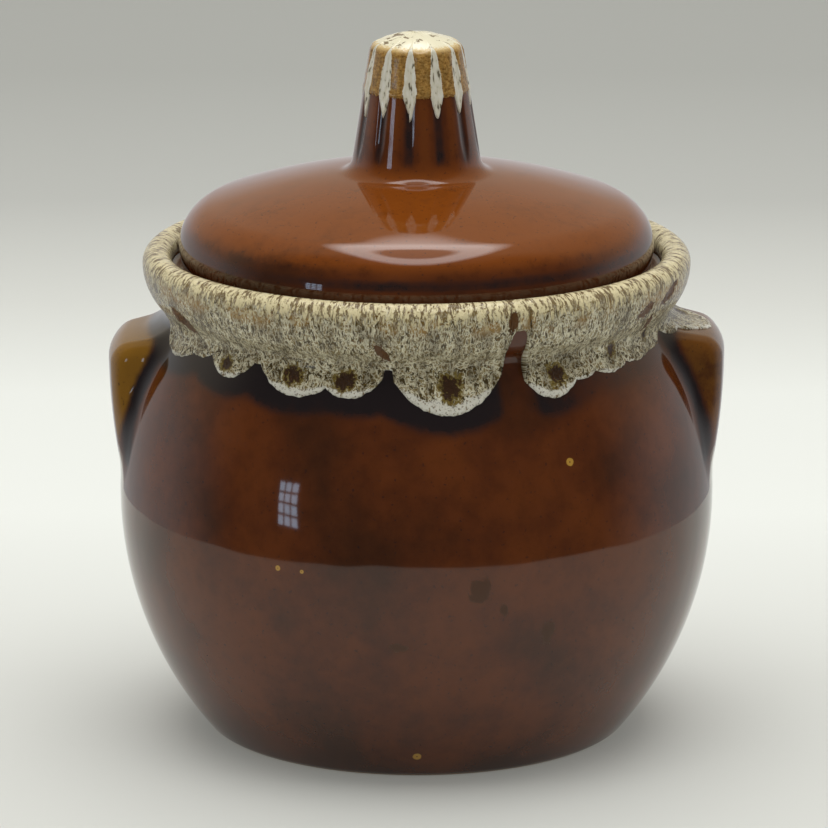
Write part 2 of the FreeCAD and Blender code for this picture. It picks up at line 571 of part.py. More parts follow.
# ---- lid ------------------------------------------------------------------------
def lidCover():
    body = newBody("lid_cover")
    sketch = newSketch(body, "LidOutline")
    radius = amount("Sizes.lidRadius")
    flange = amount("Sizes.flangeRadius")
    inside = flange - amount("Sizes.flangeWidth")
    edgeHeight, ledge = amount("Sizes.lidEdgeHeight"), amount("Sizes.ledgeHeight")
    edge, dome = amount("Sizes.lidEdgeArc"), amount("Sizes.lidDomeArc")
    inner = dome - amount("Sizes.lidWall")
    foot = amount("Sizes.knobFoot")
    centre = amount("Sizes.domeCentre")
    root = amount("Sizes.knobRoot")
    seat = root - amount("Sizes.knobSeat")
    hang = ledge - amount("Sizes.flangeDepth")
    joint = math.degrees(math.atan2(edgeHeight - centre, radius - edge))
    underside = math.degrees(math.acos(inside / inner))

    domeArc = arc(sketch, (0, centre), dome, joint, math.degrees(math.acos(foot / dome)))
    edgeArc = arc(sketch, (radius - edge, edgeHeight), edge, 0, joint)
    side = line(sketch, (radius, edgeHeight), (radius - amount("Sizes.lidTaper"), ledge))
    bearing = line(sketch, (radius - amount("Sizes.lidTaper"), ledge), (flange, ledge))
    flangeOutside = line(sketch, (flange, ledge), (flange, hang))
    flangeEnd = line(sketch, (flange, hang), (inside, hang))
    flangeInside = line(sketch, (inside, hang),
                        (inside, centre + inner * math.sin(math.radians(underside))))
    innerArc = arc(sketch, (0, centre), inner, underside, 90)
    axis = line(sketch, (0, centre + inner), (0, seat))
    seatLine = line(sketch, (0, seat), (foot, seat))
    seatWall = line(sketch, (foot, seat), (foot, root))

    dimension(sketch, "Radius", domeArc, to="Sizes.lidDomeArc")
    rule(sketch, "PointOnObject", domeArc, CENTRE, VERTICAL_AXIS)
    placePoint(sketch, domeArc, END, "Sizes.knobFoot")
    rule(sketch, "Tangent", domeArc, START, edgeArc, END)
    dimension(sketch, "Radius", edgeArc, to="Sizes.lidEdgeArc")
    placePoint(sketch, edgeArc, START, "Sizes.lidRadius", "Sizes.lidEdgeHeight")
    rule(sketch, "Horizontal", edgeArc, START, edgeArc, CENTRE)
    rule(sketch, "Coincident", edgeArc, START, side, START)
    rule(sketch, "Coincident", side, END, bearing, START)
    placePoint(sketch, bearing, START, "Sizes.lidRadius - Sizes.lidTaper", "Sizes.ledgeHeight")
    rule(sketch, "Horizontal", bearing)
    rule(sketch, "Coincident", bearing, END, flangeOutside, START)
    rule(sketch, "Vertical", flangeOutside)
    placePoint(sketch, flangeOutside, END, "Sizes.flangeRadius", "Sizes.ledgeHeight - Sizes.flangeDepth")
    rule(sketch, "Coincident", flangeOutside, END, flangeEnd, START)
    rule(sketch, "Horizontal", flangeEnd)
    placePoint(sketch, flangeEnd, END, "Sizes.flangeRadius - Sizes.flangeWidth")
    rule(sketch, "Coincident", flangeEnd, END, flangeInside, START)
    rule(sketch, "Vertical", flangeInside)
    rule(sketch, "Coincident", flangeInside, END, innerArc, START)
    dimension(sketch, "Radius", innerArc, to="Sizes.lidDomeArc - Sizes.lidWall")
    rule(sketch, "Coincident", innerArc, CENTRE, domeArc, CENTRE)
    rule(sketch, "PointOnObject", innerArc, END, VERTICAL_AXIS)
    rule(sketch, "Coincident", innerArc, END, axis, START)
    rule(sketch, "Vertical", axis)
    rule(sketch, "Coincident", axis, END, seatLine, START)
    rule(sketch, "Horizontal", seatLine)
    rule(sketch, "Coincident", seatLine, END, seatWall, START)
    rule(sketch, "Vertical", seatWall)
    rule(sketch, "Coincident", seatWall, END, domeArc, END)
    dimension(sketch, "DistanceY", seatWall, START, seatWall, END, to="Sizes.knobSeat")
    revolve(body, sketch)

    flangeFoot = "Sizes.ledgeHeight - Sizes.flangeDepth"
    roundRings(body, "Sizes.lidFootRound", ("Sizes.lidRadius - Sizes.lidTaper", "Sizes.ledgeHeight"))
    roundRings(body, "Sizes.flangeRound", ("Sizes.flangeRadius", flangeFoot),
               ("Sizes.flangeRadius - Sizes.flangeWidth", flangeFoot))
    under = math.sqrt(amount("Sizes.lidDomeArc - Sizes.lidWall") ** 2 - inside ** 2)
    roundRings(body, "Sizes.lidInnerRound",
               ("Sizes.flangeRadius - Sizes.flangeWidth", f"{centre + under}"))
    return body


# ---- knob -----------------------------------------------------------------------
def knobForm(label, extra):
    """The fluted knob, with its surface moved outwards by a formula."""
    body = newBody(label)
    sketch = newSketch(body, label + "Outline")
    root = amount("Sizes.knobRoot")
    seat = root - amount("Sizes.knobSeat")
    foot = amount(f"Sizes.knobFoot + {extra}")
    base = (amount(f"Sizes.knobBaseRadius + {extra}"), root)
    stem = (amount(f"Sizes.knobTopRadius + {extra}"), root + amount("Sizes.knobStem"))
    cove = amount(f"Sizes.knobCove - {extra}")
    shoulder = amount(f"Sizes.knobTopRound + {extra}")
    crown = amount(f"Sizes.knobCrownArc + {extra}")
    apex = root + amount(f"Sizes.knobHeight + {extra}")
    lean = math.atan2(base[0] - stem[0], stem[1] - base[1])
    leanDegrees = math.degrees(lean)
    short = (foot - base[0]) * math.cos(lean)
    lift = math.sqrt(cove ** 2 - (cove - short) ** 2)
    coveCentre = (foot - (short - cove) * math.cos(lean) - lift * math.sin(lean),
                  root + (cove - short) * math.sin(lean) + lift * math.cos(lean))
    coveStart = math.degrees(math.atan2(root - coveCentre[1], foot - coveCentre[0])) % 360
    shoulderCentre = (stem[0] - shoulder, apex - crown + math.sqrt(
        (crown - shoulder) ** 2 - (stem[0] - shoulder) ** 2))
    crownEnd = math.degrees(math.atan2(shoulderCentre[1] - apex + crown, shoulderCentre[0]))

    seatLine = line(sketch, (0, seat), (foot, seat))
    seatWall = line(sketch, (foot, seat), (foot, root))
    coveArc = arc(sketch, coveCentre, cove, 180 + leanDegrees, coveStart)
    stemLine = line(sketch,
                    (coveCentre[0] - cove * math.cos(lean), coveCentre[1] - cove * math.sin(lean)),
                    (shoulderCentre[0] + shoulder * math.cos(lean),
                     shoulderCentre[1] + shoulder * math.sin(lean)))
    shoulderArc = arc(sketch, shoulderCentre, shoulder, leanDegrees, crownEnd)
    crownArc = arc(sketch, (0, apex - crown), crown, crownEnd, 90)
    axis = line(sketch, (0, apex), (0, seat))

    rule(sketch, "PointOnObject", seatLine, START, VERTICAL_AXIS)
    placePoint(sketch, seatLine, START, height="Sizes.knobRoot - Sizes.knobSeat")
    rule(sketch, "Horizontal", seatLine)
    rule(sketch, "Coincident", seatLine, END, seatWall, START)
    rule(sketch, "Vertical", seatWall)
    placePoint(sketch, seatWall, END, f"Sizes.knobFoot + {extra}")
    dimension(sketch, "DistanceY", seatWall, START, seatWall, END, to="Sizes.knobSeat")
    rule(sketch, "Coincident", seatWall, END, coveArc, END)
    dimension(sketch, "Radius", coveArc, to=f"Sizes.knobCove - {extra}")
    rule(sketch, "Tangent", coveArc, START, stemLine, START)
    for across, rise in (("knobBaseRadius", "0"), ("knobTopRadius", "Sizes.knobStem")):
        mark = sketch.addGeometry(Part.Point(Vector(amount(f"Sizes.{across} + {extra}"),
                                                    root + amount(rise), 0)), True)
        placePoint(sketch, mark, START, f"Sizes.{across} + {extra}")
        if rise == "0":
            rule(sketch, "Horizontal", mark, START, seatWall, END)
        else:
            dimension(sketch, "DistanceY", seatWall, END, mark, START, to=rise)
        rule(sketch, "PointOnObject", mark, START, stemLine)
    rule(sketch, "Tangent", stemLine, END, shoulderArc, START)
    dimension(sketch, "Radius", shoulderArc, to=f"Sizes.knobTopRound + {extra}")
    rule(sketch, "Tangent", shoulderArc, END, crownArc, START)
    dimension(sketch, "Radius", crownArc, to=f"Sizes.knobCrownArc + {extra}")
    rule(sketch, "PointOnObject", crownArc, CENTRE, VERTICAL_AXIS)
    rule(sketch, "PointOnObject", crownArc, END, VERTICAL_AXIS)
    dimension(sketch, "DistanceY", seatWall, END, crownArc, END, to=f"Sizes.knobHeight + {extra}")
    rule(sketch, "Coincident", crownArc, END, axis, START)
    rule(sketch, "Coincident", axis, END, seatLine, START)
    revolve(body, sketch)
    cutFlutes(body, extra)
    body.Placement = Placement(Vector(), Rotation(Vector(0, 0, 1), amount("Sizes.fluteTurn")))
    return body


def cutFlutes(body, extra):
    """Cut one flute as a slender cone down the stem, and repeat it round the knob."""
    before = body.Shape.Volume
    plain = body.Tip
    sections = []
    for end, across, rise, depth in (
            ("Foot", "knobBaseRadius", "Sizes.knobCove", "fluteBaseDepth"),
            ("Top", "knobTopRadius", "Sizes.knobHeight + Sizes.knobCove", "fluteTopDepth")):
        sketch = newSketch(body, f"{body.Name}Flute{end}", "XY_Plane")
        lean = "(Sizes.knobBaseRadius - Sizes.knobTopRadius) / Sizes.knobStem"
        reach = f"Sizes.knobBaseRadius - {lean} * ({rise}) + Sizes.fluteArc - Sizes.{depth}"
        bind(sketch, AttachmentOffset__Base__z=f"Sizes.knobRoot + {rise}")
        circle = sketch.addGeometry(Part.Circle(
            Vector(0, -amount(reach), 0), Vector(0, 0, 1), amount(f"Sizes.fluteArc - {extra}")), False)
        rule(sketch, "PointOnObject", circle, CENTRE, VERTICAL_AXIS)
        dimension(sketch, "DistanceY", circle, CENTRE, *ORIGIN, to=reach)
        dimension(sketch, "Radius", circle, to=f"Sizes.fluteArc - {extra}")
        sections.append(sketch)
    flute = body.newObject("PartDesign::SubtractiveLoft", body.Name + "Flute")
    flute.Profile = (sections[0], [""])
    flute.Sections = [(sections[1], [""])]
    flute.Ruled = True
    doc.recompute()
    flutes = body.newObject("PartDesign::PolarPattern", body.Name + "Flutes")
    flutes.Originals = [flute]
    flutes.Axis = (originPart(body, "Z_Axis"), [""])
    flutes.Angle = 360
    bind(flutes, Occurrences="Sizes.fluteCount")
    body.Tip = flutes
    doc.recompute()
    if body.Shape.Volume > before - 1:
        raise RuntimeError(f"the flutes cut nothing from {plain.Name}")


# ---- glaze coats ----------------------------------------------------------------
def rimGlaze(label, coatForm, potForm, lugs):
    """The poured coat: a skin over rim and neck that ends in a row of scallops and
    stops against the lugs."""
    skin = combine("Part::Cut", label + "Skin", coatForm, potForm)
    band = doc.addObject("Part::Cylinder", label + "Band")
    bind(band, Radius="Sizes.lugReach", Height="Sizes.rimHeight",
         Placement__Base__z="Sizes.rimHeight - Sizes.bandDepth")
    reaches = [band]
    for number in range(1, len(DRIPS) + 1):
        drip = doc.addObject("Part::Cylinder", f"{label}Drip{number}")
        turn = amount(f"Sizes.dripTurn{number}")
        outwards = Vector(math.sin(math.radians(turn)), -math.cos(math.radians(turn)), 0)
        drip.Placement = Placement(Vector(), Rotation(Vector(0, 0, 1), outwards))
        bind(drip, Radius=f"Sizes.dripRound{number}", Height="Sizes.lugReach",
             Placement__Base__z="Sizes.rimHeight - Sizes.bandDepth"
                                f" - Sizes.dripHang{number} + Sizes.dripRound{number}")
        reaches.append(drip)
    reach = doc.addObject("Part::MultiFuse", label + "Reach")
    reach.Shapes = reaches
    poured = combine("Part::Common", label + "Poured", skin, reach)
    parted = combine("Part::Cut", label + "Parted", poured, lugs[0])
    return combine("Part::Cut", label, parted, lugs[1])


def knobGlaze(label, knob):
    """The knob's coat: a cap over the crown, with a tongue down every flute."""
    skin = combine("Part::Cut", label + "Skin", knobForm("knob_coat_form", "Sizes.knobCoat"), knob)
    reach = newBody(label + "Reach")
    root = amount("Sizes.knobRoot")
    cap = newSketch(reach, label + "Cap", "XY_Plane")
    bind(cap, AttachmentOffset__Base__z="Sizes.knobRoot + Sizes.knobBand")
    circle = cap.addGeometry(
        Part.Circle(Vector(0, 0, 0), Vector(0, 0, 1), amount("Sizes.knobFoot")), False)
    rule(cap, "Coincident", circle, CENTRE, *ORIGIN)
    dimension(cap, "Radius", circle, to="Sizes.knobFoot")
    pad = reach.newObject("PartDesign::Pad", label + "CapPad")
    pad.Profile = (cap, [""])
    bind(pad, Length="Sizes.knobHeight")

    tongue = newSketch(reach, label + "Tongue")
    half = amount("Sizes.tongueWidth / 2")
    top = root + amount("Sizes.knobBand") + amount("Sizes.tongueWidth")
    tip = root + amount("Sizes.tongueTip")
    corners = ((-half, top), (-half, root + amount("Sizes.knobBand")), (0, tip),
               (half, root + amount("Sizes.knobBand")), (half, top))
    sides = [line(tongue, first, second)
             for first, second in zip(corners, corners[1:] + corners[:1])]
    for first, second in zip(sides, sides[1:] + sides[:1]):
        rule(tongue, "Coincident", first, END, second, START)
    left, leftPoint, rightPoint, right, over = sides
    rule(tongue, "Vertical", left)
    rule(tongue, "Vertical", right)
    rule(tongue, "Horizontal", over)
    rule(tongue, "Symmetric", left, END, right, START, VERTICAL_AXIS)
    rule(tongue, "PointOnObject", leftPoint, END, VERTICAL_AXIS)
    dimension(tongue, "DistanceX", left, END, right, START, to="Sizes.tongueWidth")
    placePoint(tongue, leftPoint, END, height="Sizes.knobRoot + Sizes.tongueTip")
    placePoint(tongue, right, START, height="Sizes.knobRoot + Sizes.knobBand")
    dimension(tongue, "DistanceY", right, START, right, END, to="Sizes.tongueWidth")
    doc.recompute()
    point = reach.newObject("PartDesign::Pad", label + "TonguePad")
    point.Profile = (tongue, [""])
    bind(point, Length="Sizes.knobFoot")
    doc.recompute()
    points = reach.newObject("PartDesign::PolarPattern", label + "Tongues")
    points.Originals = [point]
    points.Axis = (originPart(reach, "Z_Axis"), [""])
    points.Angle = 360
    bind(points, Occurrences="Sizes.fluteCount")
    reach.Tip = points
    reach.Placement = Placement(Vector(), Rotation(Vector(0, 0, 1), amount("Sizes.fluteTurn")))
    doc.recompute()
    return combine("Part::Common", label, skin, reach)


def combine(kind, label, base, tool):
    result = doc.addObject(kind, label)
    result.Label = label
    result.Base = base
    result.Tool = tool
    doc.recompute()
    return result


# ---- assembly -------------------------------------------------------------------
def build():
    pot = potBody()
    potForm = upperForm("pot_form", "0")
    coatForm = upperForm("coat_form", "Sizes.coat")
    shoulder = shoulderForm("shoulder_form")
    cove = coveLug("lug", lugBlank("lug_blank"), shoulderForm("shoulder_form"))
    rightLug = combine("Part::Cut", "right_lug_handle", cove, potForm)
    leftLug = mirrored("left_lug_handle", rightLug)
    rimCoat = rimGlaze("rim_drip_glaze", coatForm, potForm, (cove, mirrored("lugLeftCove", cove)))
    knob = knobForm("lid_knob", "0")
    return [pot, rightLug, leftLug, rimCoat, lidCover(), knob,
            knobGlaze("knob_drip_glaze", knob)]


def mirrored(label, source):
    """The same piece on the other side of the pot."""
    twin = doc.addObject("Part::Mirroring", label)
    twin.Label = label
    twin.Source = source
    twin.Normal = Vector(1, 0, 0)
    doc.recompute()
    return twin


def checkAndExport(nodes):
    doc.recompute()
    for thing in doc.Objects:
        if "Invalid" in thing.State or "Error" in thing.State:
            raise RuntimeError(f"{thing.Label} failed: {thing.getStatusString()}")
    for node in nodes:
        if node.Shape.isNull() or not node.Shape.isValid() or not node.Shape.Solids:
            raise RuntimeError(f"{node.Label} has no valid solid")
    os.makedirs("parts", exist_ok=True)
    for node in nodes:
        node.Shape.exportStep(f"parts/{node.Label}.step")
        print(node.Label, len(node.Shape.Solids), "solids,", round(node.Shape.Volume), "mm3")


checkAndExport(build())
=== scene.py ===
import math

import bmesh
import bpy
from mathutils import Matrix, Vector, noise


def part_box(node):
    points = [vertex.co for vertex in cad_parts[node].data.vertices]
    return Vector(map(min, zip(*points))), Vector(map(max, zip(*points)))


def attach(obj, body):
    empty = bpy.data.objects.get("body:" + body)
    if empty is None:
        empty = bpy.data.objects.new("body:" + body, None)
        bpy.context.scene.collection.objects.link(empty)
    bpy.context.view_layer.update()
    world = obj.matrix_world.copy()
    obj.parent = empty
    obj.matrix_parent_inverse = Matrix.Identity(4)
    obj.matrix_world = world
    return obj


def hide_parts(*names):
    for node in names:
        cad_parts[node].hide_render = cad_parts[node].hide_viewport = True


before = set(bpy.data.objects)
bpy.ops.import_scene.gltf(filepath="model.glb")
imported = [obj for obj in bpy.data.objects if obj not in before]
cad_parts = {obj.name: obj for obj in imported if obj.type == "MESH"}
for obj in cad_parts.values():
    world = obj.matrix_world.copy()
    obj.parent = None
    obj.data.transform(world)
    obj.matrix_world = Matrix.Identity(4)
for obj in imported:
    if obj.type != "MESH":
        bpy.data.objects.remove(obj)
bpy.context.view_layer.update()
print("frame loaded")

mm = 0.001
upward = Vector((0, 0, 1))


# small helpers

def toLinear(hexColour):
    # sRGB hex to the linear values that sockets take
    channels = [int(hexColour[at:at + 2], 16) / 255 for at in (1, 3, 5)]
    return [c / 12.92 if c <= 0.04045 else ((c + 0.055) / 1.055) ** 2.4
            for c in channels] + [1.0]


def smoothStep(low, high, value):
    share = min(max((value - low) / (high - low), 0.0), 1.0)
    return share * share * (3 - 2 * share)


def arcPoints(centre, radius, first, last, count):
    # points along an arc in the (radius, height) plane, angles in degrees
    return [(centre[0] + radius * math.cos(math.radians(first + (last - first) * k / count)),
             centre[1] + radius * math.sin(math.radians(first + (last - first) * k / count)))
            for k in range(count + 1)]


def linePoints(start, end, count):
    return [(start[0] + (end[0] - start[0]) * k / count,
             start[1] + (end[1] - start[1]) * k / count) for k in range(count + 1)]


def joinPoints(*runs):
    # one outline from several runs, without the doubled points where they meet
    joined = []
    for point in (point for run in runs for point in run):
        if not joined or math.dist(joined[-1], point) > 0.01:
            joined.append(point)
    return joined


def spinOutline(outline, first, sectors, tags=(), marks=()):
    # turn an outline (mm) about Z from a first angle through sectors of (degrees, steps)
    # that make a half, a quarter, an eighth or so of the whole; a tag is a name and one
    # number per outline point, and a mark is a name for numbers that are set later
    bm = bmesh.new()
    layers = [bm.verts.layers.float.new(name) for name in (*marks, *(name for name, _ in tags))]
    start = math.radians(first)
    points = [bm.verts.new((r * mm * math.cos(start), r * mm * math.sin(start), z * mm))
              for r, z in outline]
    for layer, (name, numbers) in zip(layers[len(marks):], tags):
        for point, number in zip(points, numbers):
            point[layer] = number
    chain = points + [bm.edges.new(pair) for pair in zip(points, points[1:])]
    for degrees, steps in sectors:
        spun = bmesh.ops.spin(bm, geom=chain, cent=(0, 0, 0), axis=upward, steps=steps,
                              angle=math.radians(degrees), use_merge=False)
        chain = spun["geom_last"]
    turned = sum(degrees for degrees, _ in sectors)
    while turned < 359:                  # what is made so far goes round once more beside it
        copied = bmesh.ops.duplicate(bm, geom=bm.verts[:] + bm.edges[:] + bm.faces[:])["geom"]
        bmesh.ops.rotate(bm, cent=(0, 0, 0), matrix=Matrix.Rotation(math.radians(turned), 3, "Z"),
                         verts=[part for part in copied if isinstance(part, bmesh.types.BMVert)])
        turned *= 2
    bmesh.ops.remove_doubles(bm, verts=bm.verts, dist=0.002 * mm)
    bmesh.ops.recalc_face_normals(bm, faces=bm.faces)
    return bm


def finishPiece(bm, name, material, body, slot, *nodes):
    mesh = bpy.data.meshes.new(name)
    for face in bm.faces:
        face.smooth = True
    bm.to_mesh(mesh)
    bm.free()
    mesh.materials.append(material)
    piece = bpy.data.objects.new(name, mesh)
    bpy.context.collection.objects.link(piece)
    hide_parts(*nodes)
    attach(piece, body)
    print(name, "made:", len(mesh.polygons), "faces")


def addNode(tree, kind, inputs=None, ramp=None, **settings):
    # one shader node with its settings, its input values and its links
    node = tree.nodes.new("ShaderNode" + kind)
    for name, value in settings.items():
        setattr(node, name, value)
    for name, value in (inputs or {}).items():
        if isinstance(value, bpy.types.NodeSocket):
            tree.links.new(value, node.inputs[name])
        else:
            node.inputs[name].default_value = value
    if ramp:
        elements = node.color_ramp.elements
        while len(elements) < len(ramp):
            elements.new(1.0)
        for element, (place, colour) in zip(elements, ramp):
            element.position = place
            element.color = toLinear(colour) if isinstance(colour, str) else [colour] * 3 + [1]
    return node


# the pot, in mm: the same sizes that the CAD part has
pot = {
    "belly": 1000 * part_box("pot_body")[1].x,   # radius of the widest part
    "bellyHeight": 72.0,
    "foot": 59.85,
    "heelRound": 5.0,
    "wall": 6.0,
    "floor": 9.0,
    "floorRound": 14.0,
    "footRing": 51.0,
    "footRecess": 2.5,
    "footEdge": 0.8,
    "rim": 81.1,
    "rimHeight": 142.0,
    "neck": 74.66,
    "neckHeight": 126.57,
    "neckRound": 5.0,
    "bead": 3.8,
    "throat": 64.5,
    "ledge": 139.5,
    "ledgeEdge": 1.2,
    "throatFoot": 129.95,
    "wipedRing": 55.0,       # the foot is wiped clean of glaze inside this radius,
    "wipedEdge": (1.1, 0.5),     # and outside it below these heights
}
pot["neckCentre"] = (pot["neck"] + pot["neckRound"], pot["neckHeight"])
pot["heel"] = (((pot["belly"] - pot["foot"]) ** 2 + (pot["bellyHeight"] - pot["heelRound"]) ** 2
                - pot["heelRound"] ** 2)
               / (2 * (pot["belly"] - pot["foot"] - pot["heelRound"])))
pot["shoulder"] = (((pot["belly"] - pot["neckCentre"][0]) ** 2
                    + (pot["neckHeight"] - pot["bellyHeight"]) ** 2 - pot["neckRound"] ** 2)
                   / (2 * (pot["belly"] - pot["neck"])))
pot["collar"] = (((pot["rim"] - pot["neckCentre"][0]) ** 2
                  + (pot["rimHeight"] - pot["neckHeight"]) ** 2 - pot["neckRound"] ** 2)
                 / (2 * (pot["rim"] - pot["neck"])))
pot["shoulderCentre"] = (pot["belly"] - pot["shoulder"], pot["bellyHeight"])
pot["heelCentre"] = (pot["belly"] - pot["heel"], pot["bellyHeight"])
pot["collarCentre"] = (pot["rim"] - pot["collar"], pot["rimHeight"])
pot["beadCentre"] = (pot["rim"] - pot["bead"], pot["rimHeight"])


def turnTo(centre, point):
    return math.degrees(math.atan2(point[1] - centre[1], point[0] - centre[0]))


shoulderEnd = turnTo(pot["shoulderCentre"], pot["neckCentre"])
collarEnd = turnTo(pot["collarCentre"], pot["neckCentre"])

# lug handles, in mm, as the CAD part has them
lug = {
    "reach": 1000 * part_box("right_lug_handle")[1].x,
    "cornerHeight": 115.79,
    "corner": 5.5,
    "faceArc": 195.6,
    "topSlope": 13.0,
    "rootHalf": 22.3,        # half the width where it leaves the neck
    "taper": 0.2192,         # how fast each flank closes in, per mm outwards
    "slant": 1.024,          # and the length of the flank for each mm outwards
    "ridge": 5.2,
    "cove": 4.8,
    "foot": 1.0,             # rounding where the outer face runs into the belly
    "dish": 1.1,             # the thumbed hollow in each flank: its depth, place and size
    "dishPlace": (83.0, 106.5),
    "dishSize": (6.5, 10.0),
    "leftLower": 1.3,        # luted by hand: the left one's top sits this much lower
    "rightHigher": 0.7,
    "fan": (62.0, 98.0),     # the lug is shaped along rays from this point (radius, height)
    "level": (129.0, 124.0),     # between these heights the rays turn level
    "span": 24.0,            # degrees to either side of its middle that it can reach
    "over": 6.0,             # and mm above the neck's hollow
    "farthest": 34.0,        # mm that a ray is followed
}


def potDistance(r, z):
    # how far a point of the (radius, height) plane lies outside the pot's upper half
    neck = pot["neckCentre"]
    turn = turnTo(neck, (r, z)) % 360
    if collarEnd + 180 < turn < shoulderEnd + 180:
        return pot["neckRound"] - math.dist(neck, (r, z))
    return min(math.dist(pot["shoulderCentre"], (r, z)) - pot["shoulder"],
               math.dist(pot["collarCentre"], (r, z)) - pot["collar"])


def roundUnion(first, second, radius):
    near = math.hypot(max(radius - first, 0), max(radius - second, 0))
    return max(radius, min(first, second)) - near


def roundMeeting(first, second, radius):
    far = math.hypot(max(radius + first, 0), max(radius + second, 0))
    return min(-radius, max(first, second)) + far


def lugDistances(x, y, z, side):
    # how far a point lies outside the outer face, and outside the top and the flanks
    r = math.hypot(x, y)
    cornerRadius = lug["reach"] - lug["corner"]
    slope = math.radians(lug["topSlope"])
    face = math.dist((lug["reach"] - lug["faceArc"], lug["cornerHeight"]), (r, z)) - lug["faceArc"]
    if z > lug["cornerHeight"]:
        face = r - lug["reach"]
    top = ((r - cornerRadius) * math.sin(slope)
           + (z - lug["cornerHeight"]) * math.cos(slope) - lug["corner"])
    top += lug["leftLower"] if side < 0 else -lug["rightHigher"]
    (acrossDish, upDish), (halfWidth, halfHeight) = lug["dishPlace"], lug["dishSize"]
    middle = math.hypot((x - acrossDish) / halfWidth, (z - upDish) / halfHeight)
    dish = lug["dish"] * math.exp(-middle ** 2)
    flank = (abs(y) - lug["rootHalf"] + lug["taper"] * (x - pot["neck"]) + dish) / lug["slant"]
    return face, roundMeeting(top, flank, lug["ridge"])


def surfaceDistance(off, r, z, side):
    # the pot with its lug: a cove round the lug's root, and a rounded outer face
    across = math.radians(off)
    onPot = potDistance(r, z)
    face, block = lugDistances(r * math.cos(across), r * math.sin(across), z, side)
    joined = roundUnion(onPot, block, lug["cove"])
    luted = roundMeeting(joined, face, lug["ridge"])
    return roundUnion(onPot, luted, lug["foot"] * min(max(onPot - joined, 0), 1))


def awayFromLug(angle):
    # degrees from the nearer lug's middle, for an angle counted from +X, and that lug's side
    off = (angle + 90) % 180 - 90
    return off, (1 if abs((angle + 180) % 360 - 180) < 90 else -1)


def luggedPoint(angle, r, z):
    # where a point of the plain pot's outside lies once the lugs are on
    off, side = awayFromLug(angle)
    if abs(off) > lug["span"] or not pot["bellyHeight"] <= z <= pot["neckHeight"] + lug["over"]:
        return r, z
    if surfaceDistance(off, r, z, side) > -0.002:    # the lug doesn't cover this point
        return r, z
    start = Vector((r, z))
    ray = (start - Vector(lug["fan"])).normalized()
    ray.y *= smoothStep(*lug["level"], z)    # in the hollow of the neck it leads straight out
    ray.normalize()

    def outsideAt(reach):
        point = start + ray * reach
        return surfaceDistance(off, point.x, point.y, side) >= 0

    low = 0.0                                # steps of 1 mm, and then halves of the last one
    while low < lug["farthest"] and not outsideAt(low + 1):
        low += 1
    high = low + 1
    for _ in range(11):
        middle = (low + high) / 2
        if outsideAt(middle):
            high = middle
        else:
            low = middle
    point = start + ray * low
    return point.x, point.y


# the rim's coat and the halo under it; azimuths are in degrees from the front
drip = {
    "band": 125.4,           # height of the whole band's lower limit
    # the row of drips: azimuth, half width in degrees and hang in mm
    "scallops": [
        (-66, 10, 5.3), (-56.5, 6, 3), (-45.4, 7.4, 6.1), (-38.5, 3.2, 1), (-26.6, 11, 7.9),
        (-15, 8.6, 7.3), (6.6, 13, 11.4), (30.8, 8.6, 9), (38.8, 6.8, 5.2), (47.5, 8.5, 5.3),
        (57.5, 9.5, 4.2), (65.5, 6, 3), (78, 6, 4.4), (90, 13, 11), (107, 8, 6),
        (124, 10.5, 9.5), (143, 8, 6.5), (160, 11, 10.2), (181, 9, 7.5), (199, 12, 10),
        (222, 9, 6), (238, 10, 8), (251, 7, 4.5),
    ],
    "notches": [(21.7, 2.3, 12.6), (-6.2, 1.1, 0.8), (214, 1.6, 7.0)],   # the same, but up
    "bareTop": (270, 19, 1.8),       # the left lug's top stays bare: the same, up
    "ragged": 0.3,
    "thickness": 0.62,
    "lip": 0.34,             # how much thicker the rolled lower edge is
    "lipPlace": 1.3,         # where it is thickest, in mm from the edge
    "lipReach": 1.8,
    "nose": 0.9,             # the edge rounds off over this width
    "sink": 0.12,            # and dips this far into the clay
    "windowThin": 0.75,      # the share of the coat that is missing in a window
    "burstThin": 0.25,       # and in a burst
    "closing": [(72.6, 127.5), (75.5, 138.0)],       # rings in the clay that close it behind
    "start": 2.0,            # how far the coat reaches down inside the rim
    "girth": 77.0,           # the radius at which mm round the pot are counted
    "columns": 960,
    "rows": 62,
    "haloDrop": 5.0,         # the blue-black halo reaches this far below the drips
    "haloSoft": 3.0,         # and fades over twice this height
    "haloReach": 12,         # degrees to either side that a tip draws it down
    "haloBend": 0.05,        # and mm by which that lessens, per degree squared
    "haloFaint": [(56, 26, 0.55), (21.7, 4.0, 0.8), (120, 20, 0.4), (214, 6, 0.6)],
    # dark bursts in the glaze: azimuth, height, half width and half height in mm
    "spots": [
        (-46.3, 123.0, 2.9, 3.0), (-27.8, 123.0, 4.4, 3.7), (-15.5, 122.8, 4.4, 4.0),
        (7.3, 121.4, 4.5, 5.4), (31.9, 122.3, 4.0, 4.4), (48.8, 126.4, 2.4, 3.2),
        (62.4, 127.6, 1.8, 3.2), (94, 121.5, 3.2, 3.8), (124, 121.3, 4.0, 4.4),
        (160, 121.0, 4.2, 4.8), (181, 123.5, 3.2, 3.4), (199, 121.0, 4.2, 4.8), (237, 122.5, 3.4, 3.8),
    ],
    # where the coat crawled away and shows the brown: the same, and a lean in degrees
    "windows": [
        (-7.3, 132.2, 1.3, 3.4, 38), (-60.5, 132.4, 6.0, 2.9, -26), (20.0, 141.0, 1.5, 2.9, 0),
        (56, 137.2, 4.5, 1.5, 26), (66, 139.5, 6.5, 1.6, 24), (60, 131.8, 1.8, 3.0, 10),
        (153, 134, 3.4, 1.7, 12), (205, 134.5, 5.5, 1.8, -18),
    ],
}


def azimuthGap(first, second):
    return (first - second + 180) % 360 - 180


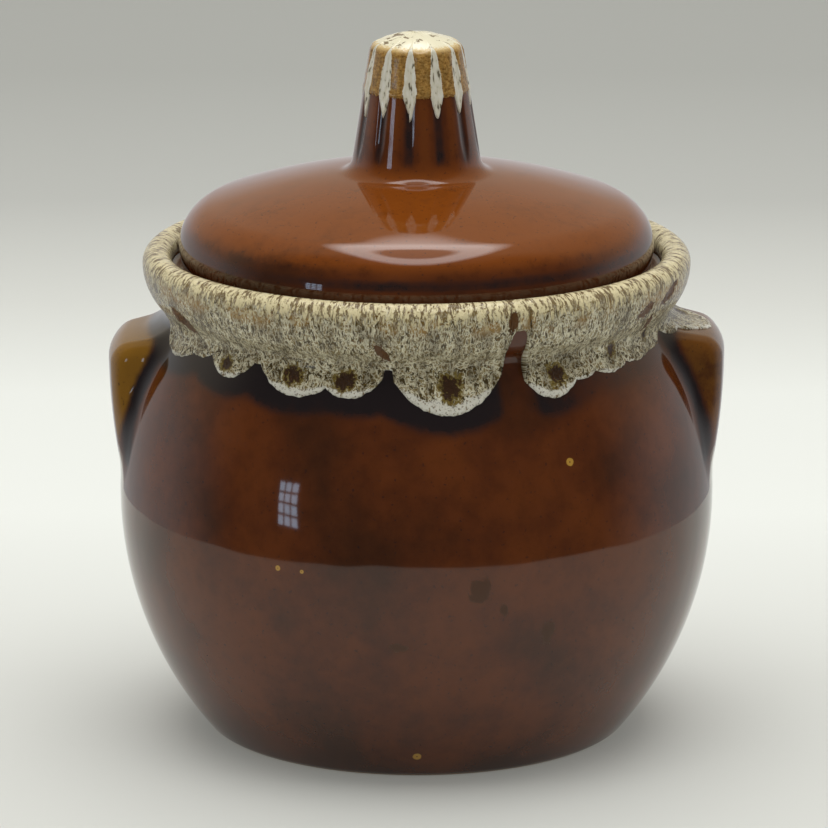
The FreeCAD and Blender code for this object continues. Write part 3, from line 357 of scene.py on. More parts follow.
def dripLimit(azimuth):
    # height at which the coat ends, on the pot without its lugs
    hang = 0.0
    for centre, half, depth in drip["scallops"]:
        gap = abs(azimuthGap(azimuth, centre)) / half
        if gap < 1:
            hang = max(hang, depth * (1 - gap ** 2.1))
    limit = drip["band"] - hang
    for centre, half, rise in drip["notches"]:
        gap = abs(azimuthGap(azimuth, centre)) / half
        if gap < 1:
            limit = max(limit, drip["band"] + rise * (1 - gap ** 4) ** 0.5)
    centre, half, rise = drip["bareTop"]
    gap = abs(azimuthGap(azimuth, centre)) / half
    if gap < 1:
        limit += rise * (1 - gap ** 4)
    place = Vector((math.sin(math.radians(azimuth)), math.cos(math.radians(azimuth)), 0))
    rough = noise.noise(place * 22) * 1.3 + noise.noise(place * 61 + upward * 3)
    return limit + drip["ragged"] * rough


# the halo under the drips follows their tips and fills in between them
dripLimits = [dripLimit(azimuth) for azimuth in range(360)]
haloSteps = range(-drip["haloReach"], drip["haloReach"] + 1)
haloLimits = [min(dripLimits[(azimuth + step) % 360] + drip["haloBend"] * step * step
                  for step in haloSteps) - drip["haloDrop"] for azimuth in range(360)]


def haloStrength(azimuth):
    # the halo is faint in places: azimuth, half width and how much of it is missing
    strength = 1.0
    for centre, half, missing in drip["haloFaint"]:
        gap = abs(azimuthGap(azimuth, centre)) / half
        strength *= 1 - missing * smoothStep(1.2, 0.6, gap)
    return strength


def haloLimit(azimuth):
    below = math.floor(azimuth)
    share = azimuth - below
    return haloLimits[below % 360] * (1 - share) + haloLimits[(below + 1) % 360] * share


def patchShare(azimuth, z, patches):
    # 1 in the middle of a patch, 0 at its edge and beyond, with a frayed outline
    best = 0.0
    for centre, height, halfWidth, halfHeight, *lean in patches:
        across = math.radians(azimuthGap(azimuth, centre)) * drip["girth"]
        rise = z - height
        if abs(across) > 10 or abs(rise) > 9:        # farther off than any patch reaches
            continue
        turn = math.radians(lean[0]) if lean else 0.0
        along = across * math.cos(turn) + rise * math.sin(turn)
        upright = rise * math.cos(turn) - across * math.sin(turn)
        fray = noise.noise(Vector((across * 0.9, rise * 0.4, centre)))
        best = max(best, 1 - math.hypot(along / halfWidth, upright / halfHeight) + 0.3 * fray)
    return best


print("settings ready")


# materials

def newMaterial(name):
    material = bpy.data.materials.new(name)
    material.use_nodes = True
    tree = material.node_tree
    tree.nodes.clear()
    return material, tree


# colours of the two glazes, as they lie on the clay
glaze = {
    "brown": "#50260c",
    "brownDeep": "#3d1e0a",
    "brownWarm": "#5f2f0e",
    "amber": "#7d5719",          # where the brown runs thin
    "warm": "#753c10",           # the lid, where it lies evenly thin
    "pooledAndShade": "#1e1718",         # where it lies thick, in the halo under the drips, and as painted shade round the lid's edge
    "clay": "#b39a78",           # the wiped foot
    # the pinholes' thin amber, with a painted highlight filled in
    "pinholeAmberGlint": "#b98f3c",
    "scar": "#472a10",
    # small flaws on the belly: azimuth, height, half width and half height in mm
    "pinholes": [(-26.8, 68.6, 0.8, 0.8), (-21.9, 68.3, 0.6, 0.6), (31.2, 98.7, 1.2, 1.2),
                 (0.1, 8.2, 1.3, 1.6)],
    "scars": [(11.9, 64.1, 3.0, 4.3), (16.9, 57.4, 1.4, 2.3), (26.1, 49.5, 2.0, 4.6),
              (-3.6, 46.4, 3.2, 1.5), (148, 58, 2.6, 3.4), (196, 40, 2.2, 1.6)],
    "vein": "#dfd9be",
    "body": "#7f6e47",
    "bodyDark": "#4d3f22",
    "bodyPale": "#9f8f65",
    "speck": "#43361b",
    "crest": "#d9cca2",
    "crestDash": "#5a421d",
    "glimpse": "#a07c40",
    "blot": "#5c4f35",
    "lipWhite": "#d9d6c9",
    "burst": "#38220f",
    "burstRim": "#7c6a30",
    "underCoat": "#5c3c1d",
    "tan": "#987237",
    "tanDark": "#6b4a20",
    "tanPale": "#ab8c52",
    "tongue": "#cdc8b3",
    "crown": "#e0d9bc",
    "knobRing": "#cdb27c",
}


def onBelly(azimuth, z):
    # the point of the belly at an azimuth and a height, in metres
    turn = math.radians(azimuth - 90)
    centre, radius = ((pot["shoulderCentre"], pot["shoulder"]) if z > pot["bellyHeight"]
                      else (pot["heelCentre"], pot["heel"]))
    r = centre[0] + math.sqrt(radius ** 2 - (z - centre[1]) ** 2)
    return Vector((r * math.cos(turn), r * math.sin(turn), z)) * mm


def nearPatches(tree, place, fray, patches, inner, outer):
    # a mask that is 1 within the named patches of the belly
    mask = None
    for azimuth, z, halfWidth, halfHeight in patches:
        size = Vector((1 / halfWidth, 1 / halfWidth, 1 / halfHeight)) / mm
        centre = onBelly(azimuth, z)
        moved = addNode(tree, "Mapping", {
            "Vector": place, "Scale": size,
            "Location": -Vector(c * f for c, f in zip(centre, size))}).outputs[0]
        frayed = addNode(tree, "VectorMath", {0: moved, 1: fray}, operation="ADD").outputs[0]
        away = addNode(tree, "VectorMath", {0: frayed}, operation="LENGTH").outputs["Value"]
        near = addNode(tree, "MapRange", {"Value": away, "From Min": outer, "From Max": inner},
                       interpolation_type="SMOOTHSTEP").outputs[0]
        mask = near if mask is None else addNode(
            tree, "Math", {0: mask, 1: near}, operation="MAXIMUM").outputs[0]
    return mask


def brownGlaze():
    # iron-brown glaze on thrown stoneware, dipped and fired to glass: a deep shine over a
    # cloudy brown that turns amber where it is thin and nearly black where it pools, with painted
    # shade round the lid's edge and a painted highlight in the pinholes
    material, tree = newMaterial("brownStonewareGlaze")
    place = addNode(tree, "TexCoord").outputs["Object"]
    halo, poolAndShade, thin, warm, bare = (addNode(tree, "Attribute", attribute_name=name).outputs["Fac"]
                                    for name in ("halo", "poolAndShade", "thin", "warm", "bare"))
    # clouds about 35 mm wide, and grain about 4 mm
    cloud = addNode(tree, "TexNoise", {"Vector": place, "Scale": 29.0, "Detail": 3.0,
                                       "Roughness": 0.6}).outputs["Fac"]
    grain = addNode(tree, "TexNoise", {"Vector": place, "Scale": 250.0, "Detail": 4.0,
                                       "Roughness": 0.65})
    colour = addNode(tree, "ValToRGB", {"Fac": cloud}, ramp=[
        (0.34, glaze["brownDeep"]), (0.5, glaze["brown"]), (0.66, glaze["brownWarm"])]).outputs[0]
    grainShade = addNode(tree, "MapRange", {"Value": grain.outputs["Fac"], "From Min": 0.3,
                                            "From Max": 0.7, "To Min": 0.84,
                                            "To Max": 1.16}).outputs[0]
    colour = addNode(tree, "MixRGB", {"Fac": 1.0, "Color1": colour, "Color2": grainShade},
                     blend_type="MULTIPLY").outputs[0]
    # sparse dark specks of 0.7 mm
    speckle = addNode(tree, "TexNoise", {"Vector": place, "Scale": 900.0,
                                         "Detail": 2.0}).outputs["Fac"]
    speckle = addNode(tree, "MapRange", {"Value": speckle, "From Min": 0.66, "From Max": 0.72,
                                         "To Max": 0.55}).outputs[0]
    # thin over ridges and lugs, with a cloudy edge
    broken = addNode(tree, "Math", {0: grain.outputs["Fac"], 1: cloud}, operation="ADD").outputs[0]
    broken = addNode(tree, "MapRange", {"Value": broken, "From Min": 0.6, "From Max": 1.4,
                                        "To Min": -0.3, "To Max": 0.3}).outputs[0]
    # poolAndShade darkens the colour: pooled glaze in the knob's flutes, the coves round the lugs'
    # roots, and painted shade round the lid's edge
    for share, target in ((warm, "warm"), (thin, "amber"), (halo, "pooledAndShade"), (poolAndShade, "pooledAndShade")):
        ragged = addNode(tree, "Math", {0: share, 1: broken}, operation="ADD").outputs[0]
        kept = addNode(tree, "Math", {0: ragged, 1: share}, operation="MINIMUM").outputs[0] \
            if target in ("amber", "warm") else ragged
        amount = addNode(tree, "MapRange", {"Value": kept, "From Min": 0.06, "From Max": 0.94},
                         interpolation_type="SMOOTHSTEP").outputs[0]
        colour = addNode(tree, "MixRGB", {"Fac": amount, "Color1": colour,
                                          "Color2": toLinear(glaze[target])}).outputs[0]
    colour = addNode(tree, "MixRGB", {"Fac": speckle, "Color1": colour,
                                      "Color2": toLinear(glaze["pooledAndShade"])}).outputs[0]
    # pinholes, their thin amber filled in as a painted highlight, and dull scars
    fray = addNode(tree, "VectorMath", {0: grain.outputs["Color"], 1: (0.5, 0.5, 0.5)},
                   operation="SUBTRACT").outputs[0]
    frayMore = addNode(tree, "VectorMath", {0: fray, "Scale": 2.2}, operation="SCALE").outputs[0]
    frayLess = addNode(tree, "VectorMath", {0: fray, "Scale": 0.7}, operation="SCALE").outputs[0]
    scars = nearPatches(tree, place, frayMore, glaze["scars"], 0.75, 1.05)
    holes = nearPatches(tree, place, frayLess, glaze["pinholes"], 0.85, 1.1)
    hearts = nearPatches(tree, place, frayLess, glaze["pinholes"], 0.05, 0.3)
    scarred = addNode(tree, "Math", {0: scars, 1: 0.8}, operation="MULTIPLY").outputs[0]
    colour = addNode(tree, "MixRGB", {"Fac": scarred, "Color1": colour,
                                      "Color2": toLinear(glaze["scar"])}).outputs[0]
    # the pinholes' amber with a painted highlight in it, and their dark hearts
    pinholeGlintShare = addNode(tree, "Math", {0: holes, 1: 0.85}, operation="MULTIPLY").outputs[0]
    colour = addNode(tree, "MixRGB", {"Fac": pinholeGlintShare, "Color1": colour,
                                      "Color2": toLinear(glaze["pinholeAmberGlint"])}).outputs[0]
    colour = addNode(tree, "MixRGB", {"Fac": hearts, "Color1": colour,
                                      "Color2": toLinear(glaze["pooledAndShade"])}).outputs[0]
    colour = addNode(tree, "MixRGB", {"Fac": bare, "Color1": colour,
                                      "Color2": toLinear(glaze["clay"])}).outputs[0]
    # a glass face: shiny, duller in the scars and on the bare foot
    matt = addNode(tree, "Math", {0: scars, 1: 0.42}, operation="MULTIPLY").outputs[0]
    foot = addNode(tree, "Math", {0: bare, 1: 0.7}, operation="MULTIPLY").outputs[0]
    matt = addNode(tree, "Math", {0: matt, 1: foot}, operation="ADD").outputs[0]
    rough = addNode(tree, "Math", {0: matt, 1: 0.055}, operation="ADD").outputs[0]
    # the glaze lies in very low waves about 20 mm long
    wave = addNode(tree, "TexNoise", {"Vector": place, "Scale": 48.0, "Detail": 1.0}).outputs["Fac"]
    bump = addNode(tree, "Bump", {"Height": wave, "Strength": 0.12, "Distance": 0.0012}).outputs[0]
    shader = addNode(tree, "BsdfPrincipled", {"Base Color": colour, "Roughness": rough,
                                              "IOR": 1.5, "Normal": bump})
    addNode(tree, "OutputMaterial", {"Surface": shader.outputs[0]})
    return material


def creamGlaze():
    # a white glaze poured over the wet brown one and melted with it: pale veins that wander
    # over olive and buff, dragged downwards, with clean white lips and dark bursts
    material, tree = newMaterial("creamDripGlaze")
    flow = addNode(tree, "UVMap", uv_map="flow").outputs["UV"]      # cm round, cm down
    lip, window, spot = (addNode(tree, "Attribute", attribute_name=name).outputs["Fac"]
                         for name in ("lip", "window", "spot"))
    down = addNode(tree, "SeparateXYZ", {"Vector": flow}).outputs["Y"]
    wander = addNode(tree, "TexNoise", {"Vector": flow, "Scale": 3.0, "Detail": 3.0})
    wandered = addNode(tree, "VectorMath", {0: wander.outputs["Color"], 1: (0.5, 0.5, 0.5)},
                       operation="SUBTRACT").outputs[0]
    wandered = addNode(tree, "VectorMath", {0: wandered, 1: (0.12, 0.3, 0.0)},
                       operation="MULTIPLY").outputs[0]
    moved = addNode(tree, "VectorMath", {0: flow, 1: wandered}, operation="ADD").outputs[0]
    # clouds in the glaze, dragged into streaks 4 by 11 mm
    dragged = addNode(tree, "Mapping", {"Vector": moved, "Scale": (2.4, 0.9, 1)}).outputs[0]
    cloud = addNode(tree, "TexNoise", {"Vector": dragged, "Scale": 1.0, "Detail": 4.0,
                                       "Roughness": 0.6}).outputs["Fac"]
    colour = addNode(tree, "ValToRGB", {"Fac": cloud}, ramp=[
        (0.36, glaze["bodyDark"]), (0.5, glaze["body"]), (0.64, glaze["bodyPale"])]).outputs[0]
    # greyer blots, 2 by 4 mm
    blotPlace = addNode(tree, "Mapping", {"Vector": moved, "Scale": (4.6, 2.3, 1)}).outputs[0]
    blot = addNode(tree, "TexNoise", {"Vector": blotPlace, "Scale": 1.0, "Detail": 2.0}).outputs["Fac"]
    blot = addNode(tree, "MapRange", {"Value": blot, "From Min": 0.58, "From Max": 0.68},
                   interpolation_type="SMOOTHSTEP").outputs[0]
    colour = addNode(tree, "MixRGB", {"Fac": blot, "Color1": colour,
                                      "Color2": toLinear(glaze["blot"])}).outputs[0]
    # wandering veins: meshes of 1.1 by 2.8 mm and 0.6 by 1.7 mm on the neck, rounder and wider
    # in the drips; the dark holes between them
    nets, holes = [], []
    for coarse, fine in (((9.5, 3.6, 1), (17.0, 6.0, 1)), ((5.6, 4.4, 1), (11.0, 8.0, 1))):
        veins, both = None, None
        for scale, width in ((coarse, 0.062), (fine, 0.05)):
            scaled = addNode(tree, "Mapping", {"Vector": moved, "Scale": scale}).outputs[0]
            value = addNode(tree, "TexNoise", {"Vector": scaled, "Scale": 1.0, "Detail": 1.5,
                                               "Roughness": 0.55}).outputs["Fac"]
            middle = addNode(tree, "Math", {0: value, 1: 0.47}, operation="SUBTRACT").outputs[0]
            middle = addNode(tree, "Math", {0: middle}, operation="ABSOLUTE").outputs[0]
            vein = addNode(tree, "MapRange", {"Value": middle, "From Min": width,
                                              "From Max": width * 0.3},
                           interpolation_type="SMOOTHSTEP").outputs[0]
            veins = vein if veins is None else addNode(
                tree, "Math", {0: veins, 1: vein}, operation="MAXIMUM").outputs[0]
            both = value if both is None else addNode(
                tree, "Math", {0: both, 1: value}, operation="ADD").outputs[0]
        nets.append(veins)
        holes.append(addNode(tree, "MapRange", {"Value": both, "From Min": 1.0, "From Max": 1.1},
                             interpolation_type="SMOOTHSTEP").outputs[0])
    lower = addNode(tree, "MapRange", {"Value": down, "From Min": 1.9, "From Max": 2.7},
                    interpolation_type="SMOOTHSTEP").outputs[0]
    net = addNode(tree, "MixRGB", {"Fac": lower, "Color1": nets[0], "Color2": nets[1]}).outputs[0]
    hole = addNode(tree, "MixRGB", {"Fac": lower, "Color1": holes[0], "Color2": holes[1]}).outputs[0]
    netShare = addNode(tree, "MapRange", {"Value": cloud, "From Min": 0.36, "From Max": 0.6,
                                          "To Min": 0.4, "To Max": 1.0}).outputs[0]
    netShare = addNode(tree, "Math", {0: net, 1: netShare}, operation="MULTIPLY").outputs[0]
    unblotted = addNode(tree, "MapRange", {"Value": blot, "To Min": 1.0, "To Max": 0.35}).outputs[0]
    netShare = addNode(tree, "Math", {0: netShare, 1: unblotted}, operation="MULTIPLY").outputs[0]
    holeShare = addNode(tree, "Math", {0: hole, 1: 0.92}, operation="MULTIPLY").outputs[0]
    colour = addNode(tree, "MixRGB", {"Fac": holeShare, "Color1": colour,
                                      "Color2": toLinear(glaze["speck"])}).outputs[0]
    colour = addNode(tree, "MixRGB", {"Fac": netShare, "Color1": colour,
                                      "Color2": toLinear(glaze["vein"])}).outputs[0]
    # amber glimpses just under the rim's widest line
    band = addNode(tree, "ValToRGB", {"Fac": addNode(tree, "Math", {0: down, 1: 0.4},
                                                     operation="MULTIPLY").outputs[0]},
                   ramp=[(0.3, 0.0), (0.4, 1.0), (0.5, 1.0), (0.62, 0.0)]).outputs[0]
    patch = addNode(tree, "TexNoise", {"Vector": flow, "Scale": 1.1, "Detail": 3.0}).outputs["Fac"]
    patch = addNode(tree, "MapRange", {"Value": patch, "From Min": 0.46, "From Max": 0.6,
                                       "To Max": 0.8}, interpolation_type="SMOOTHSTEP").outputs[0]
    patch = addNode(tree, "Math", {0: patch, 1: band}, operation="MULTIPLY").outputs[0]
    bareNet = addNode(tree, "Math", {0: 1.0, 1: netShare}, operation="SUBTRACT").outputs[0]
    patch = addNode(tree, "Math", {0: patch, 1: bareNet}, operation="MULTIPLY").outputs[0]
    colour = addNode(tree, "MixRGB", {"Fac": patch, "Color1": colour,
                                      "Color2": toLinear(glaze["glimpse"])}).outputs[0]
    # the rim's crest: yellow cream with dark dashes, 1.1 by 3.3 mm, across the rim
    dashPlace = addNode(tree, "Mapping", {"Vector": moved, "Scale": (9.0, 3.0, 1)}).outputs[0]
    dashNoise = addNode(tree, "TexNoise", {"Vector": dashPlace, "Scale": 1.0, "Detail": 3.0,
                                           "Roughness": 0.65}).outputs["Fac"]
    thinner = addNode(tree, "MapRange", {"Value": cloud, "From Min": 0.35, "From Max": 0.65,
                                         "To Min": 0.05, "To Max": -0.05}).outputs[0]
    dashes = addNode(tree, "Math", {0: dashNoise, 1: thinner}, operation="ADD").outputs[0]
    lowOnRim = addNode(tree, "MapRange", {"Value": down, "From Min": 0.55, "From Max": 1.05,
                                          "To Max": 0.05}).outputs[0]
    dashes = addNode(tree, "Math", {0: dashes, 1: lowOnRim}, operation="ADD").outputs[0]
    dash = addNode(tree, "MapRange", {"Value": dashes, "From Min": 0.485, "From Max": 0.585,
                                      "To Max": 0.9}, interpolation_type="SMOOTHSTEP").outputs[0]
    crest = addNode(tree, "MixRGB", {"Fac": dash, "Color1": toLinear(glaze["crest"]),
                                     "Color2": toLinear(glaze["crestDash"])}).outputs[0]
    shift = addNode(tree, "MapRange", {"Value": dashNoise, "From Min": 0.3, "From Max": 0.7,
                                       "To Min": -0.3, "To Max": 0.3}).outputs[0]
    onCrest = addNode(tree, "Math", {0: down, 1: shift}, operation="ADD").outputs[0]
    onCrest = addNode(tree, "MapRange", {"Value": onCrest, "From Min": 1.15, "From Max": 0.8},
                      interpolation_type="SMOOTHSTEP").outputs[0]
    colour = addNode(tree, "MixRGB", {"Fac": onCrest, "Color1": colour, "Color2": crest}).outputs[0]
    # white lips under the larger drips, with a few dots of 0.7 mm
    fray = addNode(tree, "MapRange", {"Value": cloud, "From Min": 0.35, "From Max": 0.65,
                                      "To Min": -0.3, "To Max": 0.3}).outputs[0]
    lipEdge = addNode(tree, "Math", {0: lip, 1: fray}, operation="ADD").outputs[0]
    lipEdge = addNode(tree, "Math", {0: lipEdge, 1: addNode(tree, "Math", {
        0: netShare, 1: 0.25}, operation="MULTIPLY").outputs[0]}, operation="ADD").outputs[0]
    lipShare = addNode(tree, "MapRange", {"Value": lipEdge, "From Min": 0.4, "From Max": 0.8},
                       interpolation_type="SMOOTHSTEP").outputs[0]
    dotPlace = addNode(tree, "Mapping", {"Vector": moved, "Scale": (14.0, 12.0, 1)}).outputs[0]
    dotNoise = addNode(tree, "TexNoise", {"Vector": dotPlace, "Scale": 1.0,
                                          "Detail": 2.0}).outputs["Fac"]
    dots = addNode(tree, "MapRange", {"Value": dotNoise, "From Min": 0.6, "From Max": 0.66,
                                      "To Max": 0.8}).outputs[0]
    lipColour = addNode(tree, "MixRGB", {"Fac": dots, "Color1": toLinear(glaze["lipWhite"]),
                                         "Color2": toLinear(glaze["speck"])}).outputs[0]
    colour = addNode(tree, "MixRGB", {"Fac": lipShare, "Color1": colour,
                                      "Color2": lipColour}).outputs[0]
    # dark bursts with an olive rim, and windows where the coat crawled away from the brown
    ragged = addNode(tree, "TexNoise", {"Vector": moved, "Scale": 9.0, "Detail": 4.0,
                                        "Roughness": 0.7}).outputs["Fac"]
    ragged = addNode(tree, "MapRange", {"Value": ragged, "From Min": 0.3, "From Max": 0.7,
                                        "To Min": -0.34, "To Max": 0.34}).outputs[0]
    burst = addNode(tree, "Math", {0: spot, 1: ragged}, operation="ADD").outputs[0]
    crawl = addNode(tree, "Math", {0: window, 1: addNode(tree, "Math", {
        0: ragged, 1: 0.35}, operation="MULTIPLY").outputs[0]}, operation="ADD").outputs[0]
    for share, target, low, high in ((burst, "burstRim", 0.56, 0.8), (burst, "burst", 0.8, 1.0),
                                     (crawl, "underCoat", 0.54, 0.62)):
        amount = addNode(tree, "MapRange", {"Value": share, "From Min": low, "From Max": high},
                         interpolation_type="SMOOTHSTEP").outputs[0]
        colour = addNode(tree, "MixRGB", {"Fac": amount, "Color1": colour,
                                          "Color2": toLinear(glaze[target])}).outputs[0]
    relief = addNode(tree, "Math", {0: netShare, 1: hole}, operation="SUBTRACT").outputs[0]
    bump = addNode(tree, "Bump", {"Height": relief, "Strength": 0.5, "Distance": 0.00035}).outputs[0]
    shader = addNode(tree, "BsdfPrincipled", {"Base Color": colour, "Roughness": 0.14, "IOR": 1.5,
                                              "Normal": bump})
    addNode(tree, "OutputMaterial", {"Surface": shader.outputs[0]})
    return material


def knobGlaze():
    # the same white glaze, thin over the knob: tan and speckled on the ridges, thick and
    # white down the flutes, with dark dashes in the white
    material, tree = newMaterial("creamKnobGlaze")
    flow = addNode(tree, "UVMap", uv_map="flow").outputs["UV"]      # cm round, cm down
    tongue, crown = (addNode(tree, "Attribute", attribute_name=name).outputs["Fac"]
                     for name in ("tongue", "crown"))
    # speckle of 1 mm, and dashes of 1.2 by 3 mm that also brighten and darken the tan
    fine = addNode(tree, "Mapping", {"Vector": flow, "Scale": (9.0, 13.0, 1)}).outputs[0]
    grain = addNode(tree, "TexNoise", {"Vector": fine, "Scale": 1.0, "Detail": 3.0,
                                       "Roughness": 0.7}).outputs["Fac"]
    colour = addNode(tree, "ValToRGB", {"Fac": grain}, ramp=[
        (0.34, glaze["tanDark"]), (0.5, glaze["tan"]), (0.7, glaze["tanPale"])]).outputs[0]
    streak = addNode(tree, "Mapping", {"Vector": flow, "Scale": (8.0, 3.2, 1)}).outputs[0]
    streakNoise = addNode(tree, "TexNoise", {"Vector": streak, "Scale": 1.0,
                                             "Detail": 2.0}).outputs["Fac"]
    gleam = addNode(tree, "MapRange", {"Value": streakNoise, "From Min": 0.35, "From Max": 0.65,
                                       "To Min": 0.72, "To Max": 1.15}).outputs[0]
    colour = addNode(tree, "MixRGB", {"Fac": 1.0, "Color1": colour, "Color2": gleam},
                     blend_type="MULTIPLY").outputs[0]
    dash = addNode(tree, "MapRange", {"Value": streakNoise, "From Min": 0.57, "From Max": 0.67,
                                      "To Max": 0.85}, interpolation_type="SMOOTHSTEP").outputs[0]
    shaded = addNode(tree, "ValToRGB", {"Fac": streakNoise}, ramp=[
        (0.35, glaze["lipWhite"]), (0.6, glaze["tongue"])]).outputs[0]
    white = addNode(tree, "MixRGB", {"Fac": dash, "Color1": shaded,
                                     "Color2": toLinear(glaze["speck"])}).outputs[0]
    # the crown's marks are cracks and specks 1 to 3 mm long, across its middle
    place = addNode(tree, "TexCoord").outputs["Object"]
    crack = addNode(tree, "TexNoise", {"Vector": place, "Scale": 330.0, "Detail": 2.5,
                                       "Roughness": 0.6, "Distortion": 0.8}).outputs["Fac"]
    crack = addNode(tree, "MapRange", {"Value": crack, "From Min": 0.58, "From Max": 0.64,
                                       "To Max": 0.85}, interpolation_type="SMOOTHSTEP").outputs[0]
    top = addNode(tree, "MixRGB", {"Fac": crack, "Color1": toLinear(glaze["crown"]),
                                   "Color2": toLinear(glaze["crestDash"])}).outputs[0]
    wobble = addNode(tree, "MapRange", {"Value": grain, "From Min": 0.3, "From Max": 0.7,
                                        "To Min": -0.2, "To Max": 0.2}).outputs[0]
    # the crown's edge is a yellower ring
    ringed = addNode(tree, "MapRange", {"Value": crown, "From Min": 0.0, "From Max": 0.45}).outputs[0]
    colour = addNode(tree, "MixRGB", {"Fac": ringed, "Color1": colour,
                                      "Color2": toLinear(glaze["knobRing"])}).outputs[0]
    for share, target in ((tongue, white), (crown, top)):
        ragged = addNode(tree, "Math", {0: share, 1: wobble}, operation="ADD").outputs[0]
        amount = addNode(tree, "MapRange", {"Value": ragged, "From Min": 0.35, "From Max": 0.65},
                         interpolation_type="SMOOTHSTEP").outputs[0]
        colour = addNode(tree, "MixRGB", {"Fac": amount, "Color1": colour,
                                          "Color2": target}).outputs[0]
    bump = addNode(tree, "Bump", {"Height": grain, "Strength": 0.25, "Distance": 0.0002}).outputs[0]
    shader = addNode(tree, "BsdfPrincipled", {"Base Color": colour, "Roughness": 0.14, "IOR": 1.5,
                                              "Normal": bump})
    addNode(tree, "OutputMaterial", {"Surface": shader.outputs[0]})
    return material


brownMaterial = brownGlaze()
creamMaterial = creamGlaze()
knobMaterial = knobGlaze()
print("materials made")


# the pot with both lugs, as one glazed skin

def potOutline():
    # foot, belly, shoulder, neck and rim, and down the inside, and which points lie outside
    shape = pot
    edge = shape["footEdge"]
    heelTurn = turnTo(shape["heelCentre"], (shape["foot"], shape["heelRound"]))
    lower = shape["heel"] - shape["wall"]
    drop = shape["bellyHeight"] - shape["floor"] - shape["floorRound"]
    cornerRadius = (shape["heelCentre"][0]
                    + math.sqrt((lower - shape["floorRound"]) ** 2 - drop ** 2))
    corner = (cornerRadius, shape["floor"] + shape["floorRound"])
    run = shape["belly"] - shape["wall"] - shape["throat"]
    rise = shape["throatFoot"] - shape["bellyHeight"]
    upper = (rise ** 2 + run ** 2) / (2 * run)
    upperCentre = (shape["belly"] - shape["wall"] - upper, shape["bellyHeight"])
    throatTurn = turnTo(upperCentre, (shape["throat"], shape["throatFoot"]))
    throatEdge = shape["throat"] + shape["ledgeEdge"]
    gallery = shape["rim"] - 2 * shape["bead"]
    under = joinPoints(
        linePoints((0, shape["footRecess"]), (shape["footRing"], shape["footRecess"]), 8),
        linePoints((shape["footRing"], shape["footRecess"]), (shape["footRing"], edge), 2),
        arcPoints((shape["footRing"] + edge, edge), edge, 180, 270, 4),
        linePoints((shape["footRing"] + edge, 0), (shape["foot"], 0), 3),
        arcPoints((shape["foot"], shape["heelRound"]), shape["heelRound"], -90, heelTurn, 8),
        arcPoints(shape["heelCentre"], shape["heel"], heelTurn, 0, 26))
    lugRows = arcPoints(shape["shoulderCentre"], shape["shoulder"], 0, shoulderEnd, 72)
    above = joinPoints(
        arcPoints(shape["neckCentre"], shape["neckRound"],
                  shoulderEnd + 180, collarEnd + 180, 12),
        arcPoints(shape["collarCentre"], shape["collar"], collarEnd, 0, 8),
        arcPoints(shape["beadCentre"], shape["bead"], 0, 180, 12))
    inside = joinPoints(
        linePoints((gallery, shape["rimHeight"]), (gallery, shape["ledge"]), 2),
        linePoints((gallery, shape["ledge"]), (throatEdge, shape["ledge"]), 3),
        arcPoints((throatEdge, shape["ledge"] - shape["ledgeEdge"]), shape["ledgeEdge"], 90, 180, 4),
        linePoints((shape["throat"], shape["ledge"] - shape["ledgeEdge"]),
                   (shape["throat"], shape["throatFoot"]), 3),
        arcPoints(upperCentre, upper, throatTurn, 0, 14),
        arcPoints(shape["heelCentre"], lower, 0, turnTo(shape["heelCentre"], corner), 14),
        arcPoints(corner, shape["floorRound"], turnTo(shape["heelCentre"], corner), -90, 8),
        linePoints((corner[0], shape["floor"]), (0, shape["floor"]), 8))
    outline = joinPoints(under, lugRows, above, inside)
    first, last = len(under) - 1, len(joinPoints(under, lugRows, above)) - 1
    outside = [1.0 if first <= index <= last else 0.0 for index in range(len(outline))]
    return outline, outside


def makePotSkin():
    outline, outside = potOutline()
    half = [(14, 36), (14, 11), (14, 36), (138, 69)]     # finer where the lug's flanks are
    bm = spinOutline(outline, -21, half, [("outside", outside)], ("halo", "poolAndShade", "thin", "bare"))
    layer, halo, poolAndShade, thin, bare = (bm.verts.layers.float[name]
                                     for name in ("outside", "halo", "poolAndShade", "thin", "bare"))
    for vert in bm.verts:
        r, z = vert.co.xy.length / mm, vert.co.z / mm
        if z < 3:
            ring = pot["wipedRing"]
            vert[bare] = (smoothStep(*pot["wipedEdge"], z) if r > ring
                          else smoothStep(ring + 1, ring - 1, r))
        if vert[layer] < 0.5 or z < pot["bellyHeight"]:
            continue
        angle = math.degrees(math.atan2(vert.co.y, vert.co.x))
        newR, newZ = luggedPoint(angle, r, z)
        vert.co = Vector((vert.co.x * newR / r, vert.co.y * newR / r, newZ * mm))
        onPot = potDistance(newR, newZ)
        # blue-black under the drips, but not out on the lugs
        soft = drip["haloSoft"]
        vert[halo] = (smoothStep(-soft, soft, z - haloLimit(angle + 90))
                      * smoothStep(3, 0.5, onPot) * haloStrength(angle + 90))
        off, side = awayFromLug(angle)
        if abs(off) > 26:
            continue
        across = math.radians(off)
        face, block = lugDistances(newR * math.cos(across), newR * math.sin(across), newZ, side)
        # the glaze is dark in the cove round a lug's root, and runs thin over its outer parts
        vert[poolAndShade] = (smoothStep(4.6, 1.2, block) * smoothStep(4.6, 1.4, onPot)
                      * smoothStep(0.4, -2.0, face) * smoothStep(76, 86, newZ))
        vert[thin] = (smoothStep(1.2, 4.5, onPot) * (1.0 if side < 0 else 0.4)
                      * (1 - 0.65 * smoothStep(-2.5, -9.0, block)))
    finishPiece(bm, "pot_skin", brownMaterial, "pot", "brown_glaze",
                "pot_body", "left_lug_handle", "right_lug_handle")


makePotSkin()


# the poured coat on the rim

